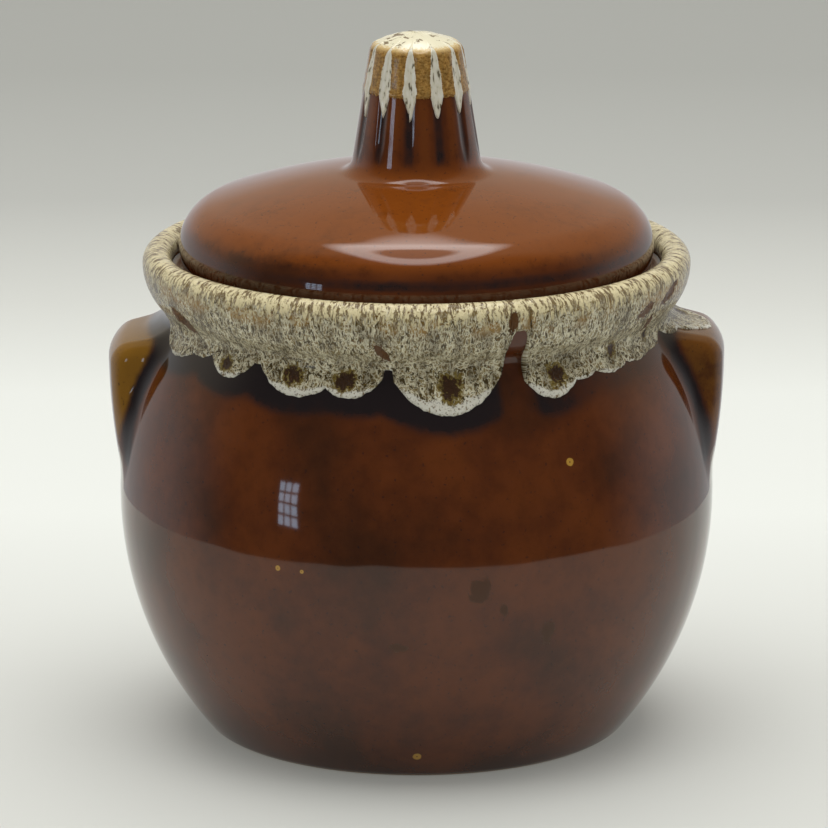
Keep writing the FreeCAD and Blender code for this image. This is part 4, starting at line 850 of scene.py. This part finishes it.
def outsideRuns():
    # the way of the coat as arcs, up inside the rim and then down: centre, radius, angles
    inside = pot["rim"] - 2 * pot["bead"]
    return [
        ((inside + 1000, pot["rimHeight"]), 1000, 180 + math.degrees(drip["start"] / 1000), 180),
        (pot["beadCentre"], pot["bead"], 180, 0),
        (pot["collarCentre"], pot["collar"], 0, collarEnd),
        (pot["neckCentre"], pot["neckRound"], collarEnd + 180, shoulderEnd + 180),
        (pot["shoulderCentre"], pot["shoulder"], shoulderEnd, 0),
    ]


runs = [(centre, radius, first, last, radius * math.radians(abs(first - last)))
        for centre, radius, first, last in outsideRuns()]
crestWay = drip["start"] + pot["bead"] * math.radians(30)    # the pattern's mm down count from here


def alongOutside(way):
    # the point that lies a given way (mm) down the outside
    for centre, radius, first, last, length in runs:
        if way <= length:
            turn = math.radians(first + (last - first) * way / length)
            return centre[0] + radius * math.cos(turn), centre[1] + radius * math.sin(turn)
        way -= length
    return centre[0] + radius, centre[1]


def wayTo(height):
    # how far down the outside the shoulder, neck or collar passes a height
    way = 0.0
    for centre, radius, first, last, length in runs:
        top = centre[1] + radius * math.sin(math.radians(first))
        low = centre[1] + radius * math.sin(math.radians(last))
        if low <= height < top:
            begin, end = 0.0, 1.0
            for _ in range(18):
                middle = (begin + end) / 2
                turn = math.radians(first + (last - first) * middle)
                if centre[1] + radius * math.sin(turn) > height:
                    begin = middle
                else:
                    end = middle
            return way + length * begin
        way += length
    return way


def edgeDistance(ways, column, way, width, reach=12, far=8.0):
    # how far a point of the coat lies from its lower edge
    near = far
    for step in range(-reach, reach + 1):
        rise = max(ways[(column + step) % len(ways)] - way, 0.0)
        if rise < near:
            near = min(near, math.hypot(step * width, rise))
    return near


def layFlow(bm, flow, place, radius):
    # lay the pattern's map: cm round at a radius, and cm down
    for face in bm.faces:
        wraps = any(place[vert][0] > 0.9 for vert in face.verts)
        for loop in face.loops:
            turn, way = place[loop.vert]
            if wraps and turn < 0.1:
                turn += 1
            loop[flow].uv = (turn * 2 * math.pi * radius / 10, way / 10)


def roundedEdge(thick, gap, nose, sink):
    # a thickness that rounds off over the nose's width and dips a little into the clay
    share = min(max(gap / nose, 0.0), 1.0)
    return thick * math.sqrt(1 - (1 - share) ** 2) - sink * (1 - share)


def thicken(bm, thickAt):
    # push every point out along its normal, by mm
    moves = {vert: vert.normal * thickAt(vert) * mm for vert in bm.verts}
    for vert, move in moves.items():
        vert.co += move


def sinkRing(bm, rim, sunkPlace):
    # carry an open rim on to a ring whose place (radius, height) follows from its own
    pushed = bmesh.ops.extrude_edge_only(bm, edges=rim)["geom"]
    ring = [part for part in pushed if isinstance(part, bmesh.types.BMEdge)]
    for vert in {vert for edge in ring for vert in edge.verts}:
        turn = math.atan2(vert.co.y, vert.co.x)
        r, z = sunkPlace(vert.co.xy.length / mm, vert.co.z / mm)
        vert.co = Vector((r * math.cos(turn), r * math.sin(turn), z)) * mm
    return ring


def makeRimCoat():
    columns, rows = drip["columns"], drip["rows"]
    share = [k / rows for k in range(rows + 1)]
    # the rows lie closer together towards the drips' edge
    spread = [s if s < 0.5 else 0.5 + 0.5 * (1 - (1 - (s - 0.5) * 2) ** 1.7) for s in share]
    # a plain strip to start from; each point's place follows from how far along it lies
    bm = spinOutline([(80, 150 - s * 30) for s in share], -90, [(22.5, columns // 16)],
                     [("along", spread)], ("edgeWay", "lip", "window", "spot"))
    along, edgeWay, lip, window, spot = (bm.verts.layers.float[name]
                                         for name in ("along", "edgeWay", "lip", "window", "spot"))
    flow = bm.loops.layers.uv.new("flow")
    ways = [wayTo(dripLimit(360 * column / columns)) for column in range(columns)]
    width = 2 * math.pi * drip["girth"] / columns
    place = {}
    for vert in bm.verts:
        angle = math.degrees(math.atan2(vert.co.y, vert.co.x))
        column = round((angle + 90) * columns / 360) % columns
        way = ways[column] * vert[along]
        plainR, plainZ = alongOutside(way)
        r, z = luggedPoint(angle, plainR, plainZ)
        turn = math.radians(angle)
        vert.co = Vector((r * math.cos(turn), r * math.sin(turn), z)) * mm
        vert[edgeWay] = edgeDistance(ways, column, way, width)
        place[vert] = (column / columns, way - crestWay)
        # the further a drip hangs, the wider and whiter its lip; over a lug it stays narrow
        hang = max(drip["band"] - dripLimit(360 * column / columns), 1.0)
        overLug = r > plainR + 0.5
        lipWidth = 1.4 if overLug else 0.52 * max(hang - 2.6, 1.2)
        whiter = 0.5 if overLug else 0.35 + 0.65 * smoothStep(3.5, 7.0, hang)
        vert[lip] = whiter * smoothStep(lipWidth * 1.3, lipWidth * 0.3, ways[column] - way)
        if way > crestWay + 6:               # the crest has neither windows nor bursts
            vert[window] = max(patchShare(angle + 90, plainZ, drip["windows"]) + 0.5, 0)
            vert[spot] = max(patchShare(angle + 90, plainZ, drip["spots"]) + 0.5, 0)
    layFlow(bm, flow, place, drip["girth"])
    bm.normal_update()
    if sum(vert.normal.dot(Vector((vert.co.x, vert.co.y, 0))) for vert in bm.verts) < 0:
        bmesh.ops.reverse_faces(bm, faces=bm.faces)
        bm.normal_update()

    def thickAt(vert):
        # a rolled lip along the edge; thin in the windows, sunk in the bursts
        roll = math.exp(-((vert[edgeWay] - drip["lipPlace"]) / drip["lipReach"]) ** 2)
        thick = drip["thickness"] + drip["lip"] * (0.4 + 0.6 * vert[lip]) * roll
        thick *= 1 - drip["windowThin"] * smoothStep(0.4, 0.8, vert[window])
        thick *= 1 - drip["burstThin"] * smoothStep(0.55, 1.0, vert[spot])
        thick = roundedEdge(thick, vert[edgeWay], drip["nose"], drip["sink"])
        return thick * (smoothStep(-0.01, 0.05, vert[along]) if vert[along] < 0.05 else 1)

    thicken(bm, thickAt)
    # close it behind, with rings sunk in the clay
    rims = [edge for edge in bm.edges if edge.is_boundary]
    ring = [edge for edge in rims if all(vert[along] > 0.9 for vert in edge.verts)]
    upper = [edge for edge in rims if all(vert[along] < 0.1 for vert in edge.verts)]
    ring = sinkRing(bm, ring, lambda r, z: (r - 3, z - 0.5))
    for closing in drip["closing"]:
        ring = sinkRing(bm, ring, lambda r, z: closing)
    bmesh.ops.bridge_loops(bm, edges=ring + upper)
    bmesh.ops.recalc_face_normals(bm, faces=bm.faces)
    finishPiece(bm, "rim_glaze_coat", creamMaterial, "pot", "cream_drip_glaze", "rim_drip_glaze")


makeRimCoat()


# lid and knob, in mm, as the CAD part has them
lid = {
    "radius": 70.8,
    "edgeArc": 14.0,
    "edgeHeight": 146.7,
    "domeArc": 188.5,
    "taper": 1.0,
    "footRound": 1.5,
    "wall": 5.5,
    "innerRound": 8.0,
    "flange": 62.5,
    "flangeWidth": 4.5,
    "flangeDepth": 7.5,
    "flangeRound": 1.2,
    "knobFoot": 24.0,
    "knobCove": 5.0,
    "knobBase": 19.7,
    "knobTop": 13.9,
    "knobStem": 37.4,
    "knobHeight": 41.9,
    "topRound": 2.8,
    "crownArc": 26.0,
    "flutes": 12,
    "fluteTurn": -7.4,       # azimuth of one flute, from the front
    "fluteArc": 3.0,
    "fluteTop": 0.95,
    "fluteBase": 0.5,
    "fluteBlend": 0.5,
    "warmHeights": (150.5, 157.0),       # the dome's glaze turns thin and warm between these
    "bandFoot": (147.6, 149.2),      # the painted shade band round its edge begins between these
    "bandTop": (152.4, 150.2),       # and ends between these
    "underHeights": (148.0, 146.0),      # below these it is a little darker again, as painted shade
    "underRadii": (60.0, 64.0),      # outside these
    "band": 0.62,            # how dark the painted shade band is at the front,
    "bandFainter": 0.34,     # and how much less on its left side
}
lid["domeCentre"] = (0.0, lid["edgeHeight"] - math.sqrt(
    (lid["domeArc"] - lid["edgeArc"]) ** 2 - (lid["radius"] - lid["edgeArc"]) ** 2))
lid["root"] = lid["domeCentre"][1] + math.sqrt(lid["domeArc"] ** 2 - lid["knobFoot"] ** 2)


def knobRun(shape):
    # the knob's side from its foot to the middle of its crown, as (radius, height) runs
    root = shape["root"]
    base = (shape["knobBase"], root)
    stem = (shape["knobTop"], root + shape["knobStem"])
    lean = math.atan2(base[0] - stem[0], stem[1] - base[1])
    leanTurn = math.degrees(lean)
    cove = shape["knobCove"]
    # the cove touches the stem's line and the dome
    centre = shape["domeCentre"]
    normal = (math.cos(lean), math.sin(lean))
    offset = base[0] * normal[0] + base[1] * normal[1] + cove
    far = shape["domeArc"] + cove
    side = math.sqrt(far ** 2 - (offset - centre[1] * normal[1]) ** 2)
    along = centre[1] * normal[0] + side
    coveCentre = (normal[0] * offset - normal[1] * along, normal[1] * offset + normal[0] * along)
    rounding = shape["topRound"]
    crown = shape["crownArc"]
    apex = root + shape["knobHeight"]
    topCentre = (stem[0] - rounding, apex - crown + math.sqrt(
        (crown - rounding) ** 2 - (stem[0] - rounding) ** 2))
    crownEnd = turnTo((0, apex - crown), topCentre)
    domeJoint = turnTo(centre, coveCentre)
    coveEnd = domeJoint + 180
    coveStart = 180 + leanTurn
    stemStart = (coveCentre[0] - cove * normal[0], coveCentre[1] - cove * normal[1])
    stemEnd = (topCentre[0] + rounding * normal[0], topCentre[1] + rounding * normal[1])
    side = joinPoints(
        arcPoints(coveCentre, cove, coveEnd, coveStart, 10),
        linePoints(stemStart, stemEnd, 40),
        arcPoints(topCentre, rounding, leanTurn, crownEnd, 9),
        arcPoints((0, apex - crown), crown, crownEnd, 90, 12))
    return side, domeJoint


knobSide, knobJoint = knobRun(lid)


def offFlute(azimuth):
    # degrees from the nearest flute's middle, and which flute that is
    period = 360 / lid["flutes"]
    turn = azimuth - lid["fluteTurn"] + period / 2
    return turn % period - period / 2, math.floor(turn / period)


def flutedRadius(azimuth, r, z):
    # radius of a point of the knob's side once the flutes are cut
    rise = z - lid["root"]
    lean = (lid["knobBase"] - lid["knobTop"]) / lid["knobStem"]
    stem = lid["knobBase"] - lean * rise
    share = (rise - lid["knobCove"]) / lid["knobHeight"]
    if share < -0.04:
        return r
    depth = lid["fluteBase"] + (lid["fluteTop"] - lid["fluteBase"]) * max(share, 0)
    runOut = smoothStep(-0.04, 0.16, share)      # the cove at the foot stays round
    depth *= runOut
    off = math.radians(offFlute(azimuth)[0])
    centre = stem + lid["fluteArc"] - depth
    inside = lid["fluteArc"] ** 2 - (centre * math.sin(off)) ** 2
    if inside <= 0:
        return r
    cut = centre * math.cos(off) - math.sqrt(inside)
    blend = lid["fluteBlend"]
    near = max(blend - abs(r - cut), 0) / blend
    return min(r, cut) - runOut * near * near * blend * 0.25


def lidOutline():
    # knob, dome, edge and flange, and back under the dome, and which points are the knob's
    shape = lid
    centre, radius = shape["domeCentre"], shape["radius"]
    edge = (radius - shape["edgeArc"], shape["edgeHeight"])
    ledge = pot["ledge"]
    bottom = radius - shape["taper"]
    foot = shape["footRound"]
    flange = shape["flange"]
    hang = ledge - shape["flangeDepth"]
    small = shape["flangeRound"]
    inside = flange - shape["flangeWidth"]
    inner = shape["domeArc"] - shape["wall"]
    joint = turnTo(centre, edge)
    roundCentre = (inside - shape["innerRound"], centre[1] + math.sqrt(
        (inner - shape["innerRound"]) ** 2 - (inside - shape["innerRound"]) ** 2))
    innerTurn = turnTo(centre, roundCentre)
    top = arcPoints(centre, shape["domeArc"], knobJoint, joint, 30)
    outline = joinPoints(
        list(reversed(knobSide)), top,
        arcPoints(edge, shape["edgeArc"], joint, 0, 16),
        linePoints((radius, shape["edgeHeight"]), (bottom + 0.1, ledge + foot), 3),
        arcPoints((bottom - foot, ledge + foot), foot, 0, -90, 5),
        linePoints((bottom - foot, ledge), (flange, ledge), 3),
        linePoints((flange, ledge), (flange, hang + small), 3),
        arcPoints((flange - small, hang + small), small, 0, -90, 4),
        arcPoints((inside + small, hang + small), small, -90, -180, 4),
        linePoints((inside, hang + small), (inside, roundCentre[1]), 4),
        arcPoints(roundCentre, shape["innerRound"], 0, innerTurn, 6),
        arcPoints(centre, inner, innerTurn, 90, 16))
    count = len(knobSide)
    return outline, [1.0 if index < count else 0.0 for index in range(len(outline))]


def makeLidSkin():
    outline, onKnob = lidOutline()
    bm = spinOutline(outline, -90 + lid["fluteTurn"], [(45, 36)], [("onKnob", onKnob)],
                     ("thin", "warm", "poolAndShade"))
    layer, thin, warm, poolAndShade = (bm.verts.layers.float[name]
                               for name in ("onKnob", "thin", "warm", "poolAndShade"))
    for vert in bm.verts:
        r, z = vert.co.xy.length / mm, vert.co.z / mm
        azimuth = math.degrees(math.atan2(vert.co.y, vert.co.x)) + 90
        # thin and warm on the dome; painted shade as a dark band round its edge that is fainter
        # at the sides, and as brown a little darkened again under that
        vert[warm] = 0.85 * smoothStep(*lid["warmHeights"], z)
        faint = math.sin(math.radians(azimuth)) ** 2 * (1 if azimuth % 360 > 180 else 0.5)
        band = lid["band"] - lid["bandFainter"] * faint
        vert[poolAndShade] = ((band * smoothStep(*lid["bandFoot"], z) * smoothStep(*lid["bandTop"], z)
                       + 0.25 * smoothStep(*lid["underHeights"], z))
                      * smoothStep(*lid["underRadii"], r))
        if vert[layer] < 0.5 or r < 0.1:
            continue
        share = flutedRadius(azimuth, r, z) / r
        vert.co.x *= share
        vert.co.y *= share
        # the glaze is thin on the ridges and lies thick in the flutes
        off = abs(offFlute(azimuth)[0]) * lid["flutes"] / 180
        height = smoothStep(lid["root"] + 3, lid["root"] + 8, z)
        vert[warm] *= 1 - height * (1 - 0.5 * smoothStep(0.35, 0.8, off))
        vert[thin] = 0.16 * smoothStep(0.45, 0.9, off) * height
        vert[poolAndShade] = 0.62 * smoothStep(0.55, 0.1, off) * height
    finishPiece(bm, "lid_skin", brownMaterial, "lid", "brown_glaze", "lid_cover", "lid_knob")


makeLidSkin()


# the coat on the knob: a cap with a tongue down every flute
cap = {
    "band": 24.9,            # lower edge on the ridges, above the knob's root
    "tip": 19.0,             # lowest point in the flutes
    "tongueHalf": 6.9,       # half width of a tongue where it leaves the band, degrees
    "leafHalf": (7.2, 4.6),      # half width of its white leaf, near the band and at the top
    "thickness": 0.15,       # over the ridges
    "tongueThickness": 0.38,
    "lip": 0.14,
    "lipPlace": 0.8,
    "nose": 0.5,
    "sink": 0.1,
    "crown": (4.6, 1.0),     # the crown's white begins and is full this far below its middle
    "closingEdge": 12.5,     # radius to which its edge is carried inside the knob
    "closing": (11.0, 204.0),    # and the ring that closes it there
    "edgeRadius": 17.0,      # the radius at which mm round the coat's edge are counted
    "girth": 15.0,           # and those of its pattern
    "columns": 576,
    "rows": 50,
}


def capLimit(azimuth):
    # height above the root at which the cap ends
    off, which = offFlute(azimuth)
    share = abs(off) / cap["tongueHalf"]
    change = noise.noise(Vector((which * 3.7, 1.3, 0)))
    place = Vector((math.cos(math.radians(azimuth)), math.sin(math.radians(azimuth)), 0))
    rough = noise.noise(place * 30) * 0.5 + noise.noise(place * 70) * 0.3
    tip = cap["band"] - cap["tip"] + change * 2.4
    return cap["band"] + rough - (tip * (1 - share ** 1.5) if share < 1 else 0)


def tongueShare(azimuth, z):
    # 1 in the white tongue that fills a flute: a leaf that is widest near the band
    off, which = offFlute(azimuth)
    rise = z - lid["root"] - cap["band"]
    height = lid["knobHeight"] - cap["band"]
    low, high = cap["leafHalf"]
    half = low - (low - high) * smoothStep(0.3 * height, 0.85 * height, rise)
    half *= smoothStep(height - 2.0, height - 6.0, rise) ** 0.5
    lean = noise.noise(Vector((which * 5.1, 8.3, 0))) * 2.6
    edge = noise.noise(Vector((which * 2.3, z * 0.35, 4))) * 1.5
    return smoothStep(half + edge + 1.2, half + edge - 1.2, abs(off - lean * rise / 20))


def makeKnobCoat():
    columns, rows = cap["columns"], cap["rows"]
    share = [k / rows for k in range(rows + 1)]
    # a plain disc to start from; each point's place follows from how far along it lies
    bm = spinOutline([(s * 20, 210) for s in share], -90 + lid["fluteTurn"],
                     [(22.5, columns // 16)], [("along", share)], ("edgeWay", "tongue", "crown"))
    along, edgeWay, tongue, crown = (bm.verts.layers.float[name]
                                     for name in ("along", "edgeWay", "tongue", "crown"))
    flow = bm.loops.layers.uv.new("flow")
    side = list(reversed(knobSide))
    lengths = [0.0]
    for first, second in zip(side, side[1:]):
        lengths.append(lengths[-1] + math.dist(first, second))

    def sidePoint(way):
        # the point that lies a given way (mm) from the crown's middle
        for index in range(len(side) - 1):
            if way <= lengths[index + 1]:
                part = (way - lengths[index]) / (lengths[index + 1] - lengths[index])
                return tuple(a + (b - a) * part for a, b in zip(side[index], side[index + 1]))
        return side[-1]

    def sideWay(height):
        # how far from the crown's middle the side passes a height
        for index in range(len(side) - 1):
            if side[index + 1][1] <= height <= side[index][1] and index > 3:
                part = (side[index][1] - height) / (side[index][1] - side[index + 1][1])
                return lengths[index] + part * (lengths[index + 1] - lengths[index])
        return lengths[-1]

    place = {}
    ways = [sideWay(lid["root"] + capLimit(360 * c / columns + lid["fluteTurn"]))
            for c in range(columns)]
    width = 2 * math.pi * cap["edgeRadius"] / columns
    for vert in bm.verts:
        azimuth = math.degrees(math.atan2(vert.co.y, vert.co.x)) + 90
        column = round((azimuth - lid["fluteTurn"]) * columns / 360) % columns
        way = ways[column] * vert[along]
        r, z = sidePoint(way)
        vert[tongue] = tongueShare(azimuth, z)
        vert[crown] = smoothStep(*cap["crown"], lid["root"] + lid["knobHeight"] - z)
        if r > 0.1:
            r = flutedRadius(azimuth, r, z)
        turn = math.atan2(vert.co.y, vert.co.x)
        vert.co = Vector((r * math.cos(turn), r * math.sin(turn), z)) * mm
        vert[edgeWay] = edgeDistance(ways, column, way, width, 10, 4.0)
        place[vert] = (column / columns, way)
    layFlow(bm, flow, place, cap["girth"])
    bm.normal_update()
    if sum(vert.normal.z for vert in bm.verts if vert[along] < 0.3) < 0:
        bmesh.ops.reverse_faces(bm, faces=bm.faces)
        bm.normal_update()

    def thickAt(vert):
        # thin over the ridges, thicker down the flutes and along the edge
        thick = cap["thickness"] + (cap["tongueThickness"] - cap["thickness"]) * vert[tongue]
        thick += cap["lip"] * math.exp(-(vert[edgeWay] - cap["lipPlace"]) ** 2)
        return roundedEdge(thick, vert[edgeWay], cap["nose"], cap["sink"])

    thicken(bm, thickAt)
    # close it inside the knob
    ring = [edge for edge in bm.edges if edge.is_boundary]
    ring = sinkRing(bm, ring, lambda r, z: (cap["closingEdge"], z))
    ring = sinkRing(bm, ring, lambda r, z: cap["closing"])
    bmesh.ops.holes_fill(bm, edges=ring)
    bmesh.ops.recalc_face_normals(bm, faces=bm.faces)
    finishPiece(bm, "knob_glaze_coat", knobMaterial, "lid", "cream_drip_glaze", "knob_drip_glaze")


makeKnobCoat()


# studio: pale table, soft lamp, camera and the room that the glaze mirrors
camera = {
    "pitch": 14.3,
    "distance": 1.92,
    "aim": (-0.00075, 0, 0.0943),
    "lens": 278.3,
    "sensor": 36,
}
studio = {
    # a pale table, greyer towards the back and a little at the front as painted falloff of the light:
    # a share of its depth, and a colour
    "floor": [(0.0, "#d2d3cd"), (0.16, "#d5d6d0"), (0.29, "#e6e8e2"), (0.4, "#e2e4de"),
              (0.5, "#cccdc7"), (0.62, "#b1b2ad"), (0.8, "#a3a49f")],
    "floorDepth": (-0.2, 1.3),   # those colours lie between these places, front to back
    "tableEdge": 0.322,      # how far from the pot the table ends, as the glaze mirrors it
    "shadowLift": 0.19,      # the share of the table that shows its colour unshaded
    "tableLevel": 1.03,
    "lampPower": 53,
    "lampPlace": (0, 0.12, 2.4),
    "lampAim": (0, 0.12, 0),
    "lampSize": 2.2,
    "roomLevel": 0.52,
    "seenLevel": 0.85,       # the room as the camera sees it beyond the table
    "roomColour": "#f4f4f1",
    "frontFull": 72,         # degrees from straight ahead within which the room is dark
    "frontEnd": 114,
    # the room's greys and colours by how many degrees up they lie
    "frontRoom": [(-90, 0.09), (60, 0.09), (79, 0.35), (90, 0.5)],
    "backRoom": [(-90, 0.55), (3, 0.6), (15, "#bdb4a5"), (40, "#b0a794"), (74, "#c8c0ae"),
                 (90, "#c8c1b3")],
    "ringTilt": 9,           # the ceiling lamp stands this many degrees behind straight above
    "ringOval": 1.8,         # how much narrower it is from left to right
    "ring": [(0, 0.12), (13, 0.12), (18, 1.0), (28, 1.0), (35, 0.0)],    # degrees off its axis
    "ringLevel": 4.2,
    "windowSide": (-54.2, -45.8),    # the window's place, in degrees aside
    "windowHeight": (-6.5, 7),       # and up
    "windowPanes": (3, 4),
    "windowPane": 0.4,       # half a pane, as a share of its place in the grid
    "windowColour": "#b6cce4",
    "windowLevel": 7.0,
}


def makeFloor():
    bm = bmesh.new()
    bmesh.ops.create_grid(bm, x_segments=1, y_segments=1, size=4.0)
    mesh = bpy.data.meshes.new("floor")
    bm.to_mesh(mesh)
    bm.free()
    floor = bpy.data.objects.new("floor", mesh)
    bpy.context.collection.objects.link(floor)
    material, tree = newMaterial("paleTable")
    place = addNode(tree, "TexCoord").outputs["Object"]
    depth = addNode(tree, "SeparateXYZ", {"Vector": place}).outputs["Y"]
    front, back = studio["floorDepth"]
    # the table's colour by depth, with the lamp's falloff painted in as shade
    shade = addNode(tree, "MapRange", {"Value": depth, "From Min": front, "From Max": back}).outputs[0]
    colour = addNode(tree, "ValToRGB", {"Fac": shade}, ramp=studio["floor"]).outputs[0]
    table = addNode(tree, "BsdfPrincipled", {"Base Color": colour, "Roughness": 0.6}).outputs[0]
    # the eye and the gloss see a softened shadow; the light on the pot stays as it is
    path = addNode(tree, "LightPath")
    seen = addNode(tree, "Math", {0: path.outputs["Is Camera Ray"],
                                  1: path.outputs["Is Glossy Ray"]},
                   operation="MAXIMUM").outputs[0]
    lift = addNode(tree, "Math", {0: seen, 1: studio["shadowLift"]}, operation="MULTIPLY").outputs[0]
    plain = addNode(tree, "Emission", {"Color": colour, "Strength": studio["tableLevel"]}).outputs[0]
    table = addNode(tree, "MixShader", {"Fac": lift, 1: table, 2: plain}).outputs[0]
    # mirrored in the glaze, the table ends a little way off and the room begins
    far = addNode(tree, "VectorMath", {0: place}, operation="LENGTH").outputs["Value"]
    beyond = addNode(tree, "Math", {0: far, 1: studio["tableEdge"]},
                     operation="GREATER_THAN").outputs[0]
    away = addNode(tree, "Math", {0: path.outputs["Is Glossy Ray"], 1: beyond},
                   operation="MULTIPLY").outputs[0]
    clear = addNode(tree, "BsdfTransparent").outputs[0]
    mixed = addNode(tree, "MixShader", {"Fac": away, 1: table, 2: clear}).outputs[0]
    addNode(tree, "OutputMaterial", {"Surface": mixed})
    mesh.materials.append(material)


def makeLamp():
    data = bpy.data.lights.new("softAbove", "AREA")
    data.size = studio["lampSize"]
    data.energy = studio["lampPower"]
    lamp = bpy.data.objects.new("softAbove", data)
    place, aim = Vector(studio["lampPlace"]), Vector(studio["lampAim"])
    lamp.location = place
    lamp.rotation_euler = (aim - place).to_track_quat("-Z", "Y").to_euler()
    lamp.visible_glossy = False              # the room below stands for it in the gloss
    lamp.visible_camera = False
    bpy.context.collection.objects.link(lamp)


def makeCamera():
    data = bpy.data.cameras.new("camera")
    data.lens = camera["lens"]
    data.sensor_width = camera["sensor"]
    data.clip_start, data.clip_end = 0.05, 50
    view = bpy.data.objects.new("camera", data)
    pitch = math.radians(camera["pitch"])
    back = Vector((0, -math.cos(pitch), math.sin(pitch)))
    view.location = Vector(camera["aim"]) + back * camera["distance"]
    view.rotation_euler = (math.pi / 2 - pitch, 0, 0)
    bpy.context.collection.objects.link(view)
    bpy.context.scene.camera = view


def makeWorld():
    # an even pale room; in the gloss it is darker in front, bright behind and above,
    # with an oval ceiling lamp and a small window
    world = bpy.data.worlds.new("room")
    world.use_nodes = True
    bpy.context.scene.world = world
    tree = world.node_tree
    tree.nodes.clear()
    direction = addNode(tree, "TexCoord").outputs["Generated"]
    part = addNode(tree, "SeparateXYZ", {"Vector": direction})
    height = addNode(tree, "Math", {0: part.outputs["Z"]}, operation="ARCSINE").outputs[0]
    height = addNode(tree, "Math", {0: height}, operation="DEGREES").outputs[0]
    forward = addNode(tree, "Math", {0: part.outputs["Y"], 1: -1.0},
                      operation="MULTIPLY").outputs[0]
    side = addNode(tree, "Math", {0: part.outputs["X"], 1: forward}, operation="ARCTAN2").outputs[0]
    side = addNode(tree, "Math", {0: side}, operation="DEGREES").outputs[0]
    aside = addNode(tree, "Math", {0: side}, operation="ABSOLUTE").outputs[0]
    inFront = addNode(tree, "MapRange", {"Value": aside, "From Min": studio["frontEnd"],
                                         "From Max": studio["frontFull"]},
                      interpolation_type="SMOOTHSTEP").outputs[0]
    level = addNode(tree, "MapRange", {"Value": height, "From Min": -90, "From Max": 90}).outputs[0]
    frontRoom = addNode(tree, "ValToRGB", {"Fac": level}, ramp=[
        ((turn + 90) / 180, value) for turn, value in studio["frontRoom"]]).outputs[0]
    backRoom = addNode(tree, "ValToRGB", {"Fac": level}, ramp=[
        ((turn + 90) / 180, value) for turn, value in studio["backRoom"]]).outputs[0]
    room = addNode(tree, "MixRGB", {"Fac": inFront, "Color1": backRoom,
                                    "Color2": frontRoom}).outputs[0]
    # the ceiling lamp: an oval ring, seen on a tilt
    tilt = math.radians(studio["ringTilt"])
    across = addNode(tree, "VectorMath", {0: direction, 1: (studio["ringOval"], 0, 0)},
                     operation="DOT_PRODUCT").outputs["Value"]
    along = addNode(tree, "VectorMath", {0: direction, 1: (0, math.cos(tilt), -math.sin(tilt))},
                    operation="DOT_PRODUCT").outputs["Value"]
    spread = addNode(tree, "CombineXYZ", {"X": across, "Y": along}).outputs[0]
    off = addNode(tree, "VectorMath", {0: spread}, operation="LENGTH").outputs["Value"]
    ring = addNode(tree, "ValToRGB", {"Fac": off}, ramp=[
        (math.sin(math.radians(turn)), value) for turn, value in studio["ring"]]).outputs[0]
    above = addNode(tree, "Math", {0: part.outputs["Z"], 1: 0.0},
                    operation="GREATER_THAN").outputs[0]
    ring = addNode(tree, "Math", {0: ring, 1: above}, operation="MULTIPLY").outputs[0]
    ring = addNode(tree, "Math", {0: ring, 1: studio["ringLevel"]}, operation="MULTIPLY").outputs[0]
    room = addNode(tree, "MixRGB", {"Fac": 1.0, "Color1": room, "Color2": ring},
                   blend_type="ADD").outputs[0]
    # the window: panes in a grid
    panes = None
    columns, rows = studio["windowPanes"]
    for value, (low, high), count in ((side, studio["windowSide"], columns),
                                      (height, studio["windowHeight"], rows)):
        share = addNode(tree, "MapRange", {"Value": value, "From Min": low, "From Max": high,
                                           "To Max": float(count)}, clamp=False).outputs[0]
        inside = addNode(tree, "Math", {0: share, 1: count / 2, 2: count / 2},
                         operation="COMPARE").outputs[0]
        bar = addNode(tree, "Math", {0: share, 1: 1.0}, operation="FLOORED_MODULO").outputs[0]
        bar = addNode(tree, "Math", {0: bar, 1: 0.5, 2: studio["windowPane"]},
                      operation="COMPARE").outputs[0]
        pane = addNode(tree, "Math", {0: inside, 1: bar}, operation="MULTIPLY").outputs[0]
        panes = pane if panes is None else addNode(
            tree, "Math", {0: panes, 1: pane}, operation="MULTIPLY").outputs[0]
    room = addNode(tree, "MixRGB", {"Fac": panes, "Color1": room,
                                    "Color2": toLinear(studio["windowColour"])}).outputs[0]
    boost = addNode(tree, "Math", {0: panes, 1: studio["windowLevel"] - 1, 2: 1.0},
                    operation="MULTIPLY_ADD").outputs[0]
    path = addNode(tree, "LightPath")
    soft = addNode(tree, "Background", {"Color": toLinear(studio["roomColour"]),
                                        "Strength": studio["roomLevel"]}).outputs[0]
    mirrored = addNode(tree, "Background", {"Color": room, "Strength": boost}).outputs[0]
    seen = addNode(tree, "Background", {"Color": toLinear(studio["roomColour"]),
                                        "Strength": studio["seenLevel"]}).outputs[0]
    mixed = addNode(tree, "MixShader", {"Fac": path.outputs["Is Glossy Ray"], 1: soft,
                                        2: mirrored}).outputs[0]
    mixed = addNode(tree, "MixShader", {"Fac": path.outputs["Is Camera Ray"], 1: mixed,
                                        2: seen}).outputs[0]
    addNode(tree, "OutputWorld", {"Surface": mixed})


makeFloor()
makeLamp()
makeCamera()
makeWorld()
bpy.context.scene.view_settings.view_transform = "Standard"
print("studio made")
